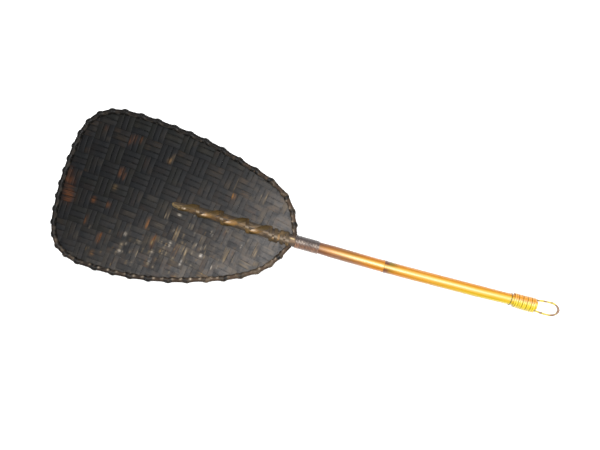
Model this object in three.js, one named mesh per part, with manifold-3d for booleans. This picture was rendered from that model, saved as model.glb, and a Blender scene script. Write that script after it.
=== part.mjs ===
// Bamboo hand fan: a woven paddle blade in a lashed rim, on a long round bamboo handle with a hanging loop.
//
// Millimetres. +X runs along the handle from the blade to the loop, +Y across the blade, +Z up out of its front face.
// The fan lies flat on its back. The origin is under the middle of its box, at the height of its lowest point.
// While it is built, x = 0 lies on the handle's axis just outside the neck, and z = 0 is the blade's middle plane.
import * as THREE from "three";
import { mergeVertices } from "three/addons/utils/BufferGeometryUtils.js";
import Module from "manifold-3d";

const wasm = await Module();
wasm.setup();

// ---------------------------------------------------------------- driving dimensions

// Outer edge of the rim, [x, y], from the neck's upper side round the far end to the neck's lower side.
const RIM_STATIONS = [
  [-4.8, 7.7], [-6.8, 13.5], [-9.9, 20.8], [-14.3, 28.0], [-20.8, 34.7], [-29.3, 40.2], [-40.1, 44.7],
  [-54.7, 49.2], [-69.9, 53.9], [-84.8, 57.7], [-100.2, 60.6], [-117.2, 62.8], [-136.7, 64.5], [-153.7, 64.9],
  [-164.2, 63.5], [-172.7, 60.1], [-179.3, 54.7], [-184.3, 47.0], [-187.8, 35.5], [-190.1, 19.3], [-191.5, 1.5],
  [-191.4, -15.4], [-190.1, -30.8], [-187.4, -41.2], [-182.0, -50.0], [-173.5, -55.7], [-162.7, -58.9],
  [-149.6, -60.0], [-132.6, -60.1], [-115.7, -59.0], [-100.2, -56.7], [-84.8, -53.4], [-70.7, -49.4],
  [-56.3, -44.9], [-43.9, -40.1], [-33.2, -34.8], [-23.9, -28.7], [-17.0, -21.8], [-12.0, -14.6], [-8.3, -8.1],
];
// Where the two lashing strips cross on the outer edge, as lengths along it.
const LASHING_AT = [
  5.5, 16.5, 30.3, 46.6, 61.8, 76.3, 91.4, 106.1, 119.4, 132.4, 146.2, 159.4, 172.9, 183.2, 193.4, 204.4, 215.8,
  226.5, 236.9, 246.9, 257.3, 267.4, 277.5, 288.1, 298.0, 307.6, 317.4, 328.2, 342.5, 357.1, 370.9, 385.2, 400.7,
  415.4, 430.2, 443.8, 457.3, 470.4, 482.4, 492.6,
];

const SPLINT_T = 0.5; // thickness of the woven bamboo
const WEAVE_LIFT = 0.4; // how far a group's middle rises or dips at a crossing
const LENGTHWISE_PITCH = 13.352; // three lengthwise splints
const CROSSWISE_PITCH = 12.444; // three crosswise splints
const GROUP_GAP = 0.9; // space between two neighbouring groups
const WEAVE_ORIGIN = [-96.4, 1.54];
const WEAVE_TURN = THREE.MathUtils.degToRad(7.9); // the weave is turned clockwise from the handle by this
const WEAVE_RADIUS = 952.1; // the lengthwise splints bend very slightly, about a far centre below the blade
const LENGTHWISE_PHASE = 0.6577;
const CROSSWISE_PHASE = -0.9536;
const MAT_EDGE = 0.9; // the mat's cut edge lies this far inside the rim's outer edge

const CLAMP_Z = 0.85; // half of the space that the hoops and the fork leave for the mat
const HOOP_W = 3.6;
const HOOP_T = 2.0;
const LASH_GAP = 0.2;
const LASH_T = 0.35;
const LASH_W = 3.0; // a lashing strip's width, measured along the rim

const ROD_R_NECK = 4.43;
const ROD_R_BUTT = 4.33;
const ROD_END = 187.8;
const ROD_BORE_R = 1.9; // the culm is hollow from the butt to the node
const NODE_X = 66.7;
const FORK_ROOT = -4.5; // the split in the handle ends here
// The forked end: [x, half width, half height, sideways drift]
const PRONG_STATIONS = [
  [-103.3, 0.6, 1.35, 4.3], [-102.4, 1.5, 1.7, 4.3], [-100.9, 2.1, 2.0, 4.25], [-96.4, 2.7, 2.4, 4.2],
  [-84.8, 3.3, 2.9, 4.0], [-65.5, 3.9, 3.3, 3.5], [-46.3, 4.15, 3.7, 2.7], [-23.0, 4.35, 4.15, 1.3],
  [-9.0, 4.4, 4.4, 0.3], [-4.0, 4.43, 4.43, 0],
];
// The golden strip: each front pass rises from the lower edge at the first x to the upper edge at the second.
const GOLD_PASSES = [[-98.5, -84.2], [-80.6, -65.0], [-61.9, -44.7], [-41.6, -25.8], [-22.9, -12.6]];
// The dark strip: each front pass falls steeply from the upper edge at the first x to the lower edge at the second.
const DARK_PASSES = [
  [-84.2, -81.2], [-65.2, -62.0], [-44.5, -41.6], [-25.6, -23.2], [-20.8, -18.9], [-16.2, -14.3], [-11.6, -9.7],
];

const BINDING_X = [-3.4, 14.8]; // neck binding
const BINDING_R = [4.65, 5.15];
const RING_X = [166.8, 168.4]; // thin ring at the butt
const RING_R = [4.6, 5.0];
const WRAP_X = [169.2, 187.4]; // butt wrap
const WRAP_R = [5.0, 5.45];
const WRAP_TURNS = 10;
const LOOP_R = 0.65; // the hanging loop is bent from cane of this radius
const SEAT_Y = 3.3; // the loop's legs lie on flats cut this far from the handle's axis
const SEAT_X = 171.4;
// The loop's middle line, from a leg's end to the tip. The other half mirrors it.
const LOOP_STATIONS = [[172.2, 4.18], [180.0, 4.18], [188.0, 4.25], [192.0, 4.6], [197.0, 4.88], [201.0, 4.55], [204.0, 3.2], [205.5, 1.2]];

// ---------------------------------------------------------------- helpers

const bamboo = (color, roughness) => new THREE.MeshStandardMaterial({ color, roughness, metalness: 0 });
const COLOURS = {
  mat: [0x2b2622, 0.45],
  hoop: [0x2a1d16, 0.4],
  lashing: [0x35302b, 0.45],
  rod: [0xc9822a, 0.3],
  gold: [0x8a5a24, 0.4],
  dark: [0x4a3220, 0.45],
  binding: [0x3a302a, 0.5],
  ring: [0x1a1512, 0.4],
  wrap: [0xd79a28, 0.4],
  loop: [0xc08a3a, 0.4],
};

const fan = new THREE.Group();
function addPiece(name, geometry, look) {
  const mesh = new THREE.Mesh(geometry, bamboo(...COLOURS[look]));
  mesh.name = name;
  fan.add(mesh);
  return mesh;
}

function signedVolume(positions, index) {
  let v = 0;
  const p = (i) => new THREE.Vector3(positions[3 * i], positions[3 * i + 1], positions[3 * i + 2]);
  for (let i = 0; i < index.length; i += 3) v += p(index[i]).dot(p(index[i + 1]).cross(p(index[i + 2])));
  return v / 6;
}

// A closed body through a row of rings of points, with its faces turned outwards.
function loft(rings) {
  const m = rings[0].length;
  const positions = [];
  const index = [];
  for (const ring of rings) for (const p of ring) positions.push(p[0], p[1], p[2]);
  for (let i = 0; i + 1 < rings.length; i++)
    for (let j = 0; j < m; j++) {
      const a = i * m + j;
      const b = i * m + ((j + 1) % m);
      index.push(a, b, a + m, b, b + m, a + m);
    }
  const last = (rings.length - 1) * m;
  for (let j = 1; j + 1 < m; j++) {
    index.push(0, j + 1, j);
    index.push(last, last + j, last + j + 1);
  }
  if (signedVolume(positions, index) < 0)
    for (let i = 0; i < index.length; i += 3) [index[i + 1], index[i + 2]] = [index[i + 2], index[i + 1]];
  const g = new THREE.BufferGeometry();
  g.setAttribute("position", new THREE.Float32BufferAttribute(positions, 3));
  g.setIndex(index);
  return g;
}

function toSolid(geometry) {
  const g = geometry.clone();
  g.deleteAttribute("normal");
  g.deleteAttribute("uv");
  const merged = mergeVertices(g, 1e-4);
  return new wasm.Manifold(
    new wasm.Mesh({
      numProp: 3,
      vertProperties: new Float32Array(merged.attributes.position.array),
      triVerts: new Uint32Array(merged.index.array),
    }),
  );
}

function toGeometry(solid) {
  const mesh = solid.getMesh();
  const positions = new Float32Array(mesh.numVert * 3);
  for (let i = 0; i < mesh.numVert; i++)
    positions.set(mesh.vertProperties.subarray(i * mesh.numProp, i * mesh.numProp + 3), i * 3);
  const g = new THREE.BufferGeometry();
  g.setAttribute("position", new THREE.BufferAttribute(positions, 3));
  g.setIndex(new THREE.BufferAttribute(new Uint32Array(mesh.triVerts), 1));
  return g;
}

// A flat plate with the outline points, from z0 to z1.
function plate(points, z0, z1) {
  const shape = new THREE.Shape(points.map((p) => new THREE.Vector2(p[0], p[1])));
  const g = new THREE.ExtrudeGeometry(shape, { depth: z1 - z0, bevelEnabled: false });
  g.translate(0, 0, z0);
  return g;
}

function boxAt(x0, x1, y0, y1, z0, z1) {
  const g = new THREE.BoxGeometry(x1 - x0, y1 - y0, z1 - z0);
  g.translate((x0 + x1) / 2, (y0 + y1) / 2, (z0 + z1) / 2);
  return g;
}

// A ring about the X axis, from its closed profile of [x, r] points.
function turned(profile, sides) {
  const g = new THREE.LatheGeometry([...profile, profile[0]].map(([x, r]) => new THREE.Vector2(r, x)), sides);
  g.rotateZ(-Math.PI / 2); // the lathe turns about Y; this lays it along +X
  const merged = g.clone();
  merged.deleteAttribute("normal");
  merged.deleteAttribute("uv");
  const out = mergeVertices(merged, 1e-4);
  const index = Array.from(out.index.array);
  if (signedVolume(out.attributes.position.array, index) < 0) {
    for (let i = 0; i < index.length; i += 3) [index[i + 1], index[i + 2]] = [index[i + 2], index[i + 1]];
    out.setIndex(index);
  }
  return out;
}

const lerpTable = (table, x, column) => {
  if (x <= table[0][0]) return table[0][column];
  for (let i = 1; i < table.length; i++)
    if (x <= table[i][0]) {
      const t = (x - table[i - 1][0]) / (table[i][0] - table[i - 1][0]);
      return table[i - 1][column] + t * (table[i][column] - table[i - 1][column]);
    }
  return table[table.length - 1][column];
};

// ---------------------------------------------------------------- the rim's line

// A Catmull-Rom line through the stations, cut fine, with its length at each point.
const rimLine = (() => {
  const P = RIM_STATIONS;
  const n = P.length;
  const Q = [
    [2 * P[0][0] - P[1][0], 2 * P[0][1] - P[1][1]],
    ...P,
    [2 * P[n - 1][0] - P[n - 2][0], 2 * P[n - 1][1] - P[n - 2][1]],
  ];
  const points = [];
  const STEPS = 24;
  for (let i = 1; i < Q.length - 2; i++)
    for (let k = 0; k < STEPS; k++) {
      const t = k / STEPS;
      points.push(
        [0, 1].map(
          (c) =>
            0.5 *
            (2 * Q[i][c] +
              (Q[i + 1][c] - Q[i - 1][c]) * t +
              (2 * Q[i - 1][c] - 5 * Q[i][c] + 4 * Q[i + 1][c] - Q[i + 2][c]) * t * t +
              (3 * Q[i][c] - Q[i - 1][c] - 3 * Q[i + 1][c] + Q[i + 2][c]) * t ** 3),
        ),
      );
    }
  points.push(P[n - 1]);
  const length = [0];
  for (let i = 1; i < points.length; i++)
    length.push(length[i - 1] + Math.hypot(points[i][0] - points[i - 1][0], points[i][1] - points[i - 1][1]));
  return { points, length };
})();
const RIM_LENGTH = rimLine.length[rimLine.length.length - 1];

function rimFrame(s) {
  const { points, length } = rimLine;
  const at = (q) => {
    let i = 1;
    while (i < length.length - 1 && length[i] < q) i++;
    const t = (q - length[i - 1]) / (length[i] - length[i - 1]);
    return [0, 1].map((c) => points[i - 1][c] + t * (points[i][c] - points[i - 1][c]));
  };
  const p = at(s);
  const a = at(Math.max(0, s - 1.5));
  const b = at(Math.min(RIM_LENGTH, s + 1.5));
  const l = Math.hypot(b[0] - a[0], b[1] - a[1]);
  const tangent = [(b[0] - a[0]) / l, (b[1] - a[1]) / l];
  return { p, inward: [-tangent[1], tangent[0]], tangent };
}
// The point at length s along the rim, r inwards from its outer edge, at height z.
function rimPoint(s, r, z) {
  const { p, inward } = rimFrame(s);
  return [p[0] + inward[0] * r, p[1] + inward[1] * r, z];
}
// Lengths along the rim, closer together where it bends more.
const rimStops = (() => {
  const out = [0];
  let s = 0;
  while (s < RIM_LENGTH) {
    const a = rimFrame(s).tangent;
    const b = rimFrame(Math.min(RIM_LENGTH, s + 4)).tangent;
    const bend = Math.abs(Math.atan2(a[0] * b[1] - a[1] * b[0], a[0] * b[0] + a[1] * b[1])) / 4 + 1e-4;
    s += Math.min(13, Math.max(3.6, Math.sqrt(0.72 / bend)));
    out.push(Math.min(s, RIM_LENGTH));
  }
  if (out[out.length - 1] - out[out.length - 2] < 1.5) out.splice(out.length - 2, 1);
  return out;
})();

// ---------------------------------------------------------------- handle with its forked end

const rodRadius = (x) => ROD_R_NECK + ((ROD_R_BUTT - ROD_R_NECK) * (x + 4)) / (ROD_END + 4);
const ROD_SIDES = 24;
const rodRing = (x, w, h, y0) =>
  Array.from({ length: ROD_SIDES }, (_, i) => {
    const a = (2 * Math.PI * (i + 0.5)) / ROD_SIDES;
    return [x, y0 + w * Math.cos(a), h * Math.sin(a)];
  });
{
  const rings = PRONG_STATIONS.map(([x, w, h, y0]) => rodRing(x, w, h, y0));
  const swell = [
    [24, 0], [NODE_X - 5, 0], [NODE_X - 1.2, 0.08], [NODE_X - 0.5, 0.22], [NODE_X, 0.08], [NODE_X + 0.7, 0.2],
    [NODE_X + 2.2, 0.1], [NODE_X + 7, 0], [118, 0],
  ];
  for (const [x, extra] of swell) rings.push(rodRing(x, rodRadius(x) + extra, rodRadius(x) + extra, 0));
  rings.push(rodRing(ROD_END - 0.35, ROD_R_BUTT, ROD_R_BUTT, 0));
  rings.push(rodRing(ROD_END, ROD_R_BUTT - 0.35, ROD_R_BUTT - 0.35, 0));
  let rod = toSolid(loft(rings));
  rod = rod.subtract(toSolid(boxAt(-110, FORK_ROOT, -9, 12, -CLAMP_Z, CLAMP_Z)));
  for (const side of [1, -1]) {
    const y = side > 0 ? [SEAT_Y, 6] : [-6, -SEAT_Y];
    rod = rod.subtract(toSolid(boxAt(SEAT_X, ROD_END + 1, y[0], y[1], -6, 6)));
  }
  const bore = [NODE_X + 3, ROD_END + 1].map((x) =>
    Array.from({ length: 12 }, (_, i) => {
      const a = (2 * Math.PI * (i + 0.5)) / 12;
      return [x, ROD_BORE_R * Math.cos(a), ROD_BORE_R * Math.sin(a)];
    }),
  );
  rod = rod.subtract(toSolid(loft(bore)));
  addPiece("handle_rod_with_forked_end", toGeometry(rod), "rod");
}

// ---------------------------------------------------------------- strips that wind round something

// A flat strip wound round an eight-sided outline. Each stop is { side, at, width }, and place(side, at, lift) gives
// the point on corner number `side`, at the length `at`, raised off the outline by `lift`.
function woundStrip(stops, place, inner, outer) {
  return loft(
    stops.map(({ side, at, width }) => [
      place(side, at - width / 2, inner),
      place(side, at + width / 2, inner),
      place(side, at + width / 2, outer),
      place(side, at - width / 2, outer),
    ]),
  );
}

// ---------------------------------------------------------------- tongue lashing

const OCTAGON = 1 / Math.cos(Math.PI / 8);
// Corner 0 is the upper edge's front corner, 3 the lower edge's front corner, 4 and 7 the same at the back.
function prongPoint(side, x, lift) {
  const a = Math.PI / 8 + (side * Math.PI) / 4;
  const w = lerpTable(PRONG_STATIONS, x, 1) + lift;
  const h = lerpTable(PRONG_STATIONS, x, 2) + lift;
  return [x, lerpTable(PRONG_STATIONS, x, 3) + w * OCTAGON * Math.cos(a), h * OCTAGON * Math.sin(a)];
}
const SLOT_LENGTH = 3.6;
const slots = []; // [x, +1 upper or -1 lower]
{
  const stops = [];
  GOLD_PASSES.forEach(([low, high], k) => {
    stops.push({ side: 3, at: low, width: 3.0 });
    stops.push({ side: 2, at: low + 0.34 * (high - low), width: 4.0 });
    stops.push({ side: 1, at: low + 0.66 * (high - low), width: 4.0 });
    stops.push({ side: 0, at: high, width: 3.0 });
    stops.push({ side: -1, at: high, width: 3.0 });
    slots.push([low, -1], [high, 1]);
    const next = GOLD_PASSES[k + 1];
    if (!next) return;
    stops.push({ side: -2, at: high + 0.34 * (next[0] - high), width: 3.2 });
    stops.push({ side: -3, at: high + 0.66 * (next[0] - high), width: 3.2 });
    stops.push({ side: -4, at: next[0], width: 3.0 });
  });
  const inner = LASH_GAP;
  addPiece("tongue_lashing_gold", woundStrip(stops, prongPoint, inner, inner + LASH_T), "gold");
}
{
  const stops = [];
  DARK_PASSES.forEach(([high, low], k) => {
    stops.push({ side: 0, at: high, width: 2.6 });
    stops.push({ side: 1, at: high + 0.34 * (low - high), width: 2.8 });
    stops.push({ side: 2, at: high + 0.66 * (low - high), width: 2.8 });
    stops.push({ side: 3, at: low, width: 2.6 });
    stops.push({ side: 4, at: low, width: 2.6 });
    slots.push([high, 1], [low, -1]);
    const next = DARK_PASSES[k + 1];
    if (!next) return;
    stops.push({ side: 5, at: low + 0.34 * (next[0] - low), width: 2.6 });
    stops.push({ side: 6, at: low + 0.66 * (next[0] - low), width: 2.6 });
    stops.push({ side: 7, at: next[0], width: 2.6 });
  });
  const inner = 2 * LASH_GAP + LASH_T;
  addPiece("tongue_lashing_dark", woundStrip(stops, prongPoint, inner, inner + LASH_T), "dark");
}

// ---------------------------------------------------------------- rim hoops and their lashing

for (const [name, up] of [["rim_hoop_front", 1], ["rim_hoop_back", -1]]) {
  const section = [
    [0, 0], [0, 0.4], [1.1, HOOP_T], [HOOP_W - 1.1, HOOP_T], [HOOP_W, 0.4], [HOOP_W, 0],
  ];
  const rings = rimStops.map((s) => section.map(([r, z]) => rimPoint(s, r, up * (CLAMP_Z + z))));
  addPiece(name, loft(rings), "hoop");
}

const BUNDLE = (() => {
  const low = CLAMP_Z + 0.4;
  const high = CLAMP_Z + HOOP_T;
  // 0 front outer edge, 1 and 2 front face, 3 front inner edge, 4 back inner edge, 5 and 6 back face, 7 back outer edge
  return [[0, low], [1.1, high], [HOOP_W - 1.1, high], [HOOP_W, low], [HOOP_W, -low], [HOOP_W - 1.1, -high], [1.1, -high], [0, -low]];
})();
// The bundle's outline with each side moved out by `lift`.
function bundleCorner(side, lift) {
  const n = BUNDLE.length;
  const k = ((side % n) + n) % n;
  const a = BUNDLE[(k + n - 1) % n];
  const b = BUNDLE[k];
  const c = BUNDLE[(k + 1) % n];
  // The corners run clockwise in (r, z), so the left of each edge points outwards.
  const normal = (p, q) => {
    const l = Math.hypot(q[0] - p[0], q[1] - p[1]);
    return [-(q[1] - p[1]) / l, (q[0] - p[0]) / l];
  };
  const m = normal(a, b);
  const o = normal(b, c);
  const share = lift / (1 + m[0] * o[0] + m[1] * o[1]);
  return [b[0] + share * (m[0] + o[0]), b[1] + share * (m[1] + o[1])];
}
const rimCorner = (side, s, lift) => {
  const [r, z] = bundleCorner(side, lift);
  return rimPoint(Math.min(RIM_LENGTH - 0.2, Math.max(0.2, s)), r, z);
};
const room = LASHING_AT.map((s, k) => {
  const before = k ? s - LASHING_AT[k - 1] : 14;
  const after = k + 1 < LASHING_AT.length ? LASHING_AT[k + 1] - s : 14;
  return Math.min(3.6, 0.25 * Math.min(before, after));
});
const holes = [];
{
  // One strip climbs the front from the hole before each crossing, goes over the edge, and comes down the back to the next hole.
  const stops = [];
  LASHING_AT.forEach((s, k) => {
    const hole = s - room[k];
    stops.push({ side: 3, at: hole, width: LASH_W });
    stops.push({ side: 2, at: hole + 0.3 * room[k], width: LASH_W });
    stops.push({ side: 1, at: hole + 0.72 * room[k], width: LASH_W });
    stops.push({ side: 0, at: s - 0.1, width: LASH_W });
    holes.push(hole);
    if (k + 1 === LASHING_AT.length) {
      stops.push({ side: -1, at: s + 0.2, width: LASH_W });
      return;
    }
    const run = LASHING_AT[k + 1] - room[k + 1] - s;
    stops.push({ side: -1, at: s + 0.06 * run, width: LASH_W });
    stops.push({ side: -2, at: s + 0.25 * run, width: LASH_W });
    stops.push({ side: -3, at: s + 0.75 * run, width: LASH_W });
    stops.push({ side: -4, at: s + run, width: LASH_W });
  });
  addPiece("rim_lashing_first", woundStrip(stops, rimCorner, LASH_GAP, LASH_GAP + LASH_T), "lashing");
}
{
  // The other strip is laid over it and winds the other way.
  const stops = [];
  LASHING_AT.forEach((s, k) => {
    const hole = s + room[k];
    if (k) {
      const last = LASHING_AT[k - 1] + room[k - 1];
      const run = s - last;
      stops.push({ side: 4, at: last, width: LASH_W });
      stops.push({ side: 5, at: last + 0.25 * run, width: LASH_W });
      stops.push({ side: 6, at: last + 0.75 * run, width: LASH_W });
      stops.push({ side: 7, at: s - 0.06 * run, width: LASH_W });
    } else stops.push({ side: 7, at: s - 0.2, width: LASH_W });
    stops.push({ side: 8, at: s + 0.1, width: LASH_W });
    stops.push({ side: 9, at: s + 0.28 * room[k], width: LASH_W });
    stops.push({ side: 10, at: s + 0.7 * room[k], width: LASH_W });
    stops.push({ side: 11, at: hole, width: LASH_W });
    holes.push(hole);
  });
  const inner = 2 * LASH_GAP + LASH_T;
  addPiece("rim_lashing_second", woundStrip(stops, rimCorner, inner, inner + LASH_T), "lashing");
}

// ---------------------------------------------------------------- the woven mat

// The mat's outline: inside the rim's outer edge, with a notch wherever a lashing strip goes through.
const matOutline = (() => {
  const half = LASH_W / 2 + LASH_GAP;
  const deep = HOOP_W + 2 * LASH_GAP + 2 * LASH_T + 0.35;
  const cuts = [];
  for (const s of [...holes].sort((a, b) => a - b)) {
    const last = cuts[cuts.length - 1];
    if (last && s - half < last[1] + 0.5) last[1] = s + half;
    else cuts.push([Math.max(0, s - half), Math.min(RIM_LENGTH, s + half)]);
  }
  const points = [];
  let at = 0;
  const walk = (to) => {
    points.push(rimPoint(at, MAT_EDGE, 0));
    for (const s of rimStops) if (s > at + 0.8 && s < to - 0.8) points.push(rimPoint(s, MAT_EDGE, 0));
    points.push(rimPoint(to, MAT_EDGE, 0));
  };
  for (const [a, b] of cuts) {
    if (a - at > 0.5) walk(a);
    points.push(rimPoint(a, deep, 0), rimPoint(b, deep, 0));
    at = b;
  }
  if (RIM_LENGTH - at > 0.5) walk(RIM_LENGTH);
  return points;
})();
let matPrism = toSolid(plate(matOutline, -3, 3));
for (const [x, side] of slots) {
  const w = Math.max(...[-1.8, 0, 1.8].map((d) => lerpTable(PRONG_STATIONS, x + d, 1)));
  const n = Math.min(...[-1.8, 0, 1.8].map((d) => lerpTable(PRONG_STATIONS, x + d, 1)));
  const y0 = lerpTable(PRONG_STATIONS, x, 3);
  const a = y0 + side * (n + 0.05);
  const b = y0 + side * (w + 2 * LASH_GAP + 2 * LASH_T + 0.3);
  matPrism = matPrism.subtract(
    toSolid(boxAt(x - SLOT_LENGTH / 2, x + SLOT_LENGTH / 2, Math.min(a, b), Math.max(a, b), -4, 4)),
  );
}

// A point of the weave: `a` along the lengthwise splints, `b` across them.
function weavePoint(a, b, z) {
  const turn = WEAVE_TURN + a / WEAVE_RADIUS;
  const r = WEAVE_RADIUS + b;
  return [
    WEAVE_ORIGIN[0] + r * Math.sin(turn) - WEAVE_RADIUS * Math.sin(WEAVE_TURN),
    WEAVE_ORIGIN[1] + r * Math.cos(turn) - WEAVE_RADIUS * Math.cos(WEAVE_TURN),
    z,
  ];
}
const crosswiseAt = (k) => (k + CROSSWISE_PHASE) * CROSSWISE_PITCH;
const lengthwiseAt = (l) => (l + LENGTHWISE_PHASE) * LENGTHWISE_PITCH;
const even = (n) => ((n % 2) + 2) % 2 === 0;

// One group of three splints, going over and under the groups that cross it.
function group(point, middle, half, crossings) {
  const rings = [];
  for (const { from, to, lift } of crossings)
    for (const at of [from, to])
      rings.push([
        point(at, middle - half, lift - SPLINT_T / 2),
        point(at, middle + half, lift - SPLINT_T / 2),
        point(at, middle + half, lift + SPLINT_T / 2),
        point(at, middle - half, lift + SPLINT_T / 2),
      ]);
  return loft(rings);
}
function clipped(geometry) {
  const bodies = toSolid(geometry).intersect(matPrism).decompose();
  return bodies.sort((a, b) => b.volume() - a.volume())[0];
}
const SMALLEST_GROUP = 60; // mm3: anything less is a sliver at the very edge
let count = 0;
for (let l = -6; l <= 5; l++) {
  const crossings = [];
  for (let k = -10; k <= 10; k++)
    crossings.push({
      from: crosswiseAt(k) - (CROSSWISE_PITCH - GROUP_GAP) / 2,
      to: crosswiseAt(k) + (CROSSWISE_PITCH - GROUP_GAP) / 2,
      lift: even(k + l) ? WEAVE_LIFT : -WEAVE_LIFT,
    });
  const half = (LENGTHWISE_PITCH - GROUP_GAP) / 2;
  const solid = clipped(group((at, b, z) => weavePoint(at, b, z), lengthwiseAt(l), half, crossings));
  if (!solid || solid.volume() < SMALLEST_GROUP) continue;
  addPiece("lengthwise_splints_" + String(++count).padStart(2, "0"), toGeometry(solid), "mat");
}
count = 0;
for (let k = -10; k <= 10; k++) {
  const crossings = [];
  for (let l = -7; l <= 6; l++)
    crossings.push({
      from: lengthwiseAt(l) - (LENGTHWISE_PITCH - GROUP_GAP) / 2,
      to: lengthwiseAt(l) + (LENGTHWISE_PITCH - GROUP_GAP) / 2,
      lift: even(k + l) ? -WEAVE_LIFT : WEAVE_LIFT,
    });
  const half = (CROSSWISE_PITCH - GROUP_GAP) / 2;
  const solid = clipped(group((at, a, z) => weavePoint(a, at, z), crosswiseAt(k), half, crossings));
  if (!solid || solid.volume() < SMALLEST_GROUP) continue;
  addPiece("crosswise_splints_" + String(++count).padStart(2, "0"), toGeometry(solid), "mat");
}

// ---------------------------------------------------------------- bindings on the handle

const sleeve = ([x0, x1], [r0, r1], bevel) => [[x0, r0], [x1, r0], [x1, r1 - bevel], [x1 - bevel, r1], [x0 + bevel, r1], [x0, r1 - bevel]];
addPiece("neck_binding", turned(sleeve(BINDING_X, BINDING_R, 0.25), 16), "binding");
addPiece("butt_ring", turned([[RING_X[0], RING_R[0]], [RING_X[1], RING_R[0]], [RING_X[1], RING_R[1]], [RING_X[0], RING_R[1]]], 16), "ring");
{
  // Flat cane turns side by side: a shallow groove between each two.
  const pitch = (WRAP_X[1] - WRAP_X[0]) / WRAP_TURNS;
  const outer = [];
  for (let i = WRAP_TURNS - 1; i >= 0; i--) {
    const x = WRAP_X[0] + i * pitch;
    outer.push([x + pitch, WRAP_R[1] - 0.25], [x + pitch / 2, WRAP_R[1]]);
  }
  outer.push([WRAP_X[0], WRAP_R[1] - 0.25]);
  addPiece("butt_wrap", turned([[WRAP_X[0], WRAP_R[0]], [WRAP_X[1], WRAP_R[0]], ...outer], 16), "wrap");
}

// ---------------------------------------------------------------- hanging loop

{
  const half = LOOP_STATIONS.map(([x, y]) => new THREE.Vector3(x, y, 0));
  const line = new THREE.CatmullRomCurve3([
    ...half,
    new THREE.Vector3(205.75, 0, 0),
    ...half.map((p) => new THREE.Vector3(p.x, -p.y, 0)).reverse(),
  ]);
  const section = new THREE.Shape(
    Array.from({ length: 8 }, (_, i) => {
      const a = (2 * Math.PI * (i + 0.5)) / 8;
      return new THREE.Vector2(LOOP_R * Math.cos(a), LOOP_R * Math.sin(a));
    }),
  );
  addPiece("hanging_loop", new THREE.ExtrudeGeometry(section, { steps: 32, extrudePath: line, bevelEnabled: false }), "loop");
}

// ---------------------------------------------------------------- place it on its origin

fan.updateMatrixWorld(true);
const box = new THREE.Box3().setFromObject(fan);
fan.position.set(-(box.min.x + box.max.x) / 2, -(box.min.y + box.max.y) / 2, -box.min.z);
fan.updateMatrixWorld(true);

export default fan;
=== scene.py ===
# Bamboo hand fan: the fine surface of every piece, with its floor, light and camera.
#
# The shapes are worked out in millimetres in the fan's own frame (x = 0 on the handle's axis just outside the neck,
# z = 0 in the blade's middle plane), as the construction is, and are put in the shared frame in metres.
import math

import bmesh
import bpy
import numpy as np
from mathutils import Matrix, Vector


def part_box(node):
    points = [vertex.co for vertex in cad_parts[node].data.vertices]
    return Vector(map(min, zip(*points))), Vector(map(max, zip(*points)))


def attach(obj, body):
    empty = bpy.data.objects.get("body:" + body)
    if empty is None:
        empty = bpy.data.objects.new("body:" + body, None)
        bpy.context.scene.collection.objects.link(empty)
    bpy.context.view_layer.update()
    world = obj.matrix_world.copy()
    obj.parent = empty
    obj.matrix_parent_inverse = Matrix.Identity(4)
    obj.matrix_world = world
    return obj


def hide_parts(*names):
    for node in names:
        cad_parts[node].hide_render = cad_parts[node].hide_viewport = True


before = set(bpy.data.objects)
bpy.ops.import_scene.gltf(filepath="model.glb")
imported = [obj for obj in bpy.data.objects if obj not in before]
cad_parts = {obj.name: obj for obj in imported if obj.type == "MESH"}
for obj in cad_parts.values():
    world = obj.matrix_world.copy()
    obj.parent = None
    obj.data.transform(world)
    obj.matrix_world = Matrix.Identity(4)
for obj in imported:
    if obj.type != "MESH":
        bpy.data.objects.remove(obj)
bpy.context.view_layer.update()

ROD_END = 187.8
SHIFT = np.array([-6.8157501, -2.3470078, 5.4603930])  # from the fan's own frame to the shared one

# ---------------------------------------------------------------- measures, as in the construction

RIM_STATIONS = np.array([
    [-4.8, 7.7], [-6.8, 13.5], [-9.9, 20.8], [-14.3, 28.0], [-20.8, 34.7], [-29.3, 40.2], [-40.1, 44.7],
    [-54.7, 49.2], [-69.9, 53.9], [-84.8, 57.7], [-100.2, 60.6], [-117.2, 62.8], [-136.7, 64.5], [-153.7, 64.9],
    [-164.2, 63.5], [-172.7, 60.1], [-179.3, 54.7], [-184.3, 47.0], [-187.8, 35.5], [-190.1, 19.3], [-191.5, 1.5],
    [-191.4, -15.4], [-190.1, -30.8], [-187.4, -41.2], [-182.0, -50.0], [-173.5, -55.7], [-162.7, -58.9],
    [-149.6, -60.0], [-132.6, -60.1], [-115.7, -59.0], [-100.2, -56.7], [-84.8, -53.4], [-70.7, -49.4],
    [-56.3, -44.9], [-43.9, -40.1], [-33.2, -34.8], [-23.9, -28.7], [-17.0, -21.8], [-12.0, -14.6], [-8.3, -8.1],
])
LASHING_AT = np.array([
    5.5, 16.5, 30.3, 46.6, 61.8, 76.3, 91.4, 106.1, 119.4, 132.4, 146.2, 159.4, 172.9, 183.2, 193.4, 204.4, 215.8,
    226.5, 236.9, 246.9, 257.3, 267.4, 277.5, 288.1, 298.0, 307.6, 317.4, 328.2, 342.5, 357.1, 370.9, 385.2, 400.7,
    415.4, 430.2, 443.8, 457.3, 470.4, 482.4, 492.6,
])
LENGTHWISE_PITCH, CROSSWISE_PITCH = 13.352, 12.444
LENGTHWISE_PHASE, CROSSWISE_PHASE = 0.6577, -0.9536
WEAVE_ORIGIN = np.array([-96.4, 1.54])
WEAVE_TURN = math.radians(7.9)
WEAVE_RADIUS = 952.1
HOOP_W = 3.6
HALF_W, HALF_H = 1.8, 2.45  # the two hoops with the mat between them, as one rounded bundle
CLAMP_Z = 0.66
NODE_X = 66.7
ROD_R_NECK, ROD_R_BUTT = 4.43, 4.33
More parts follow.
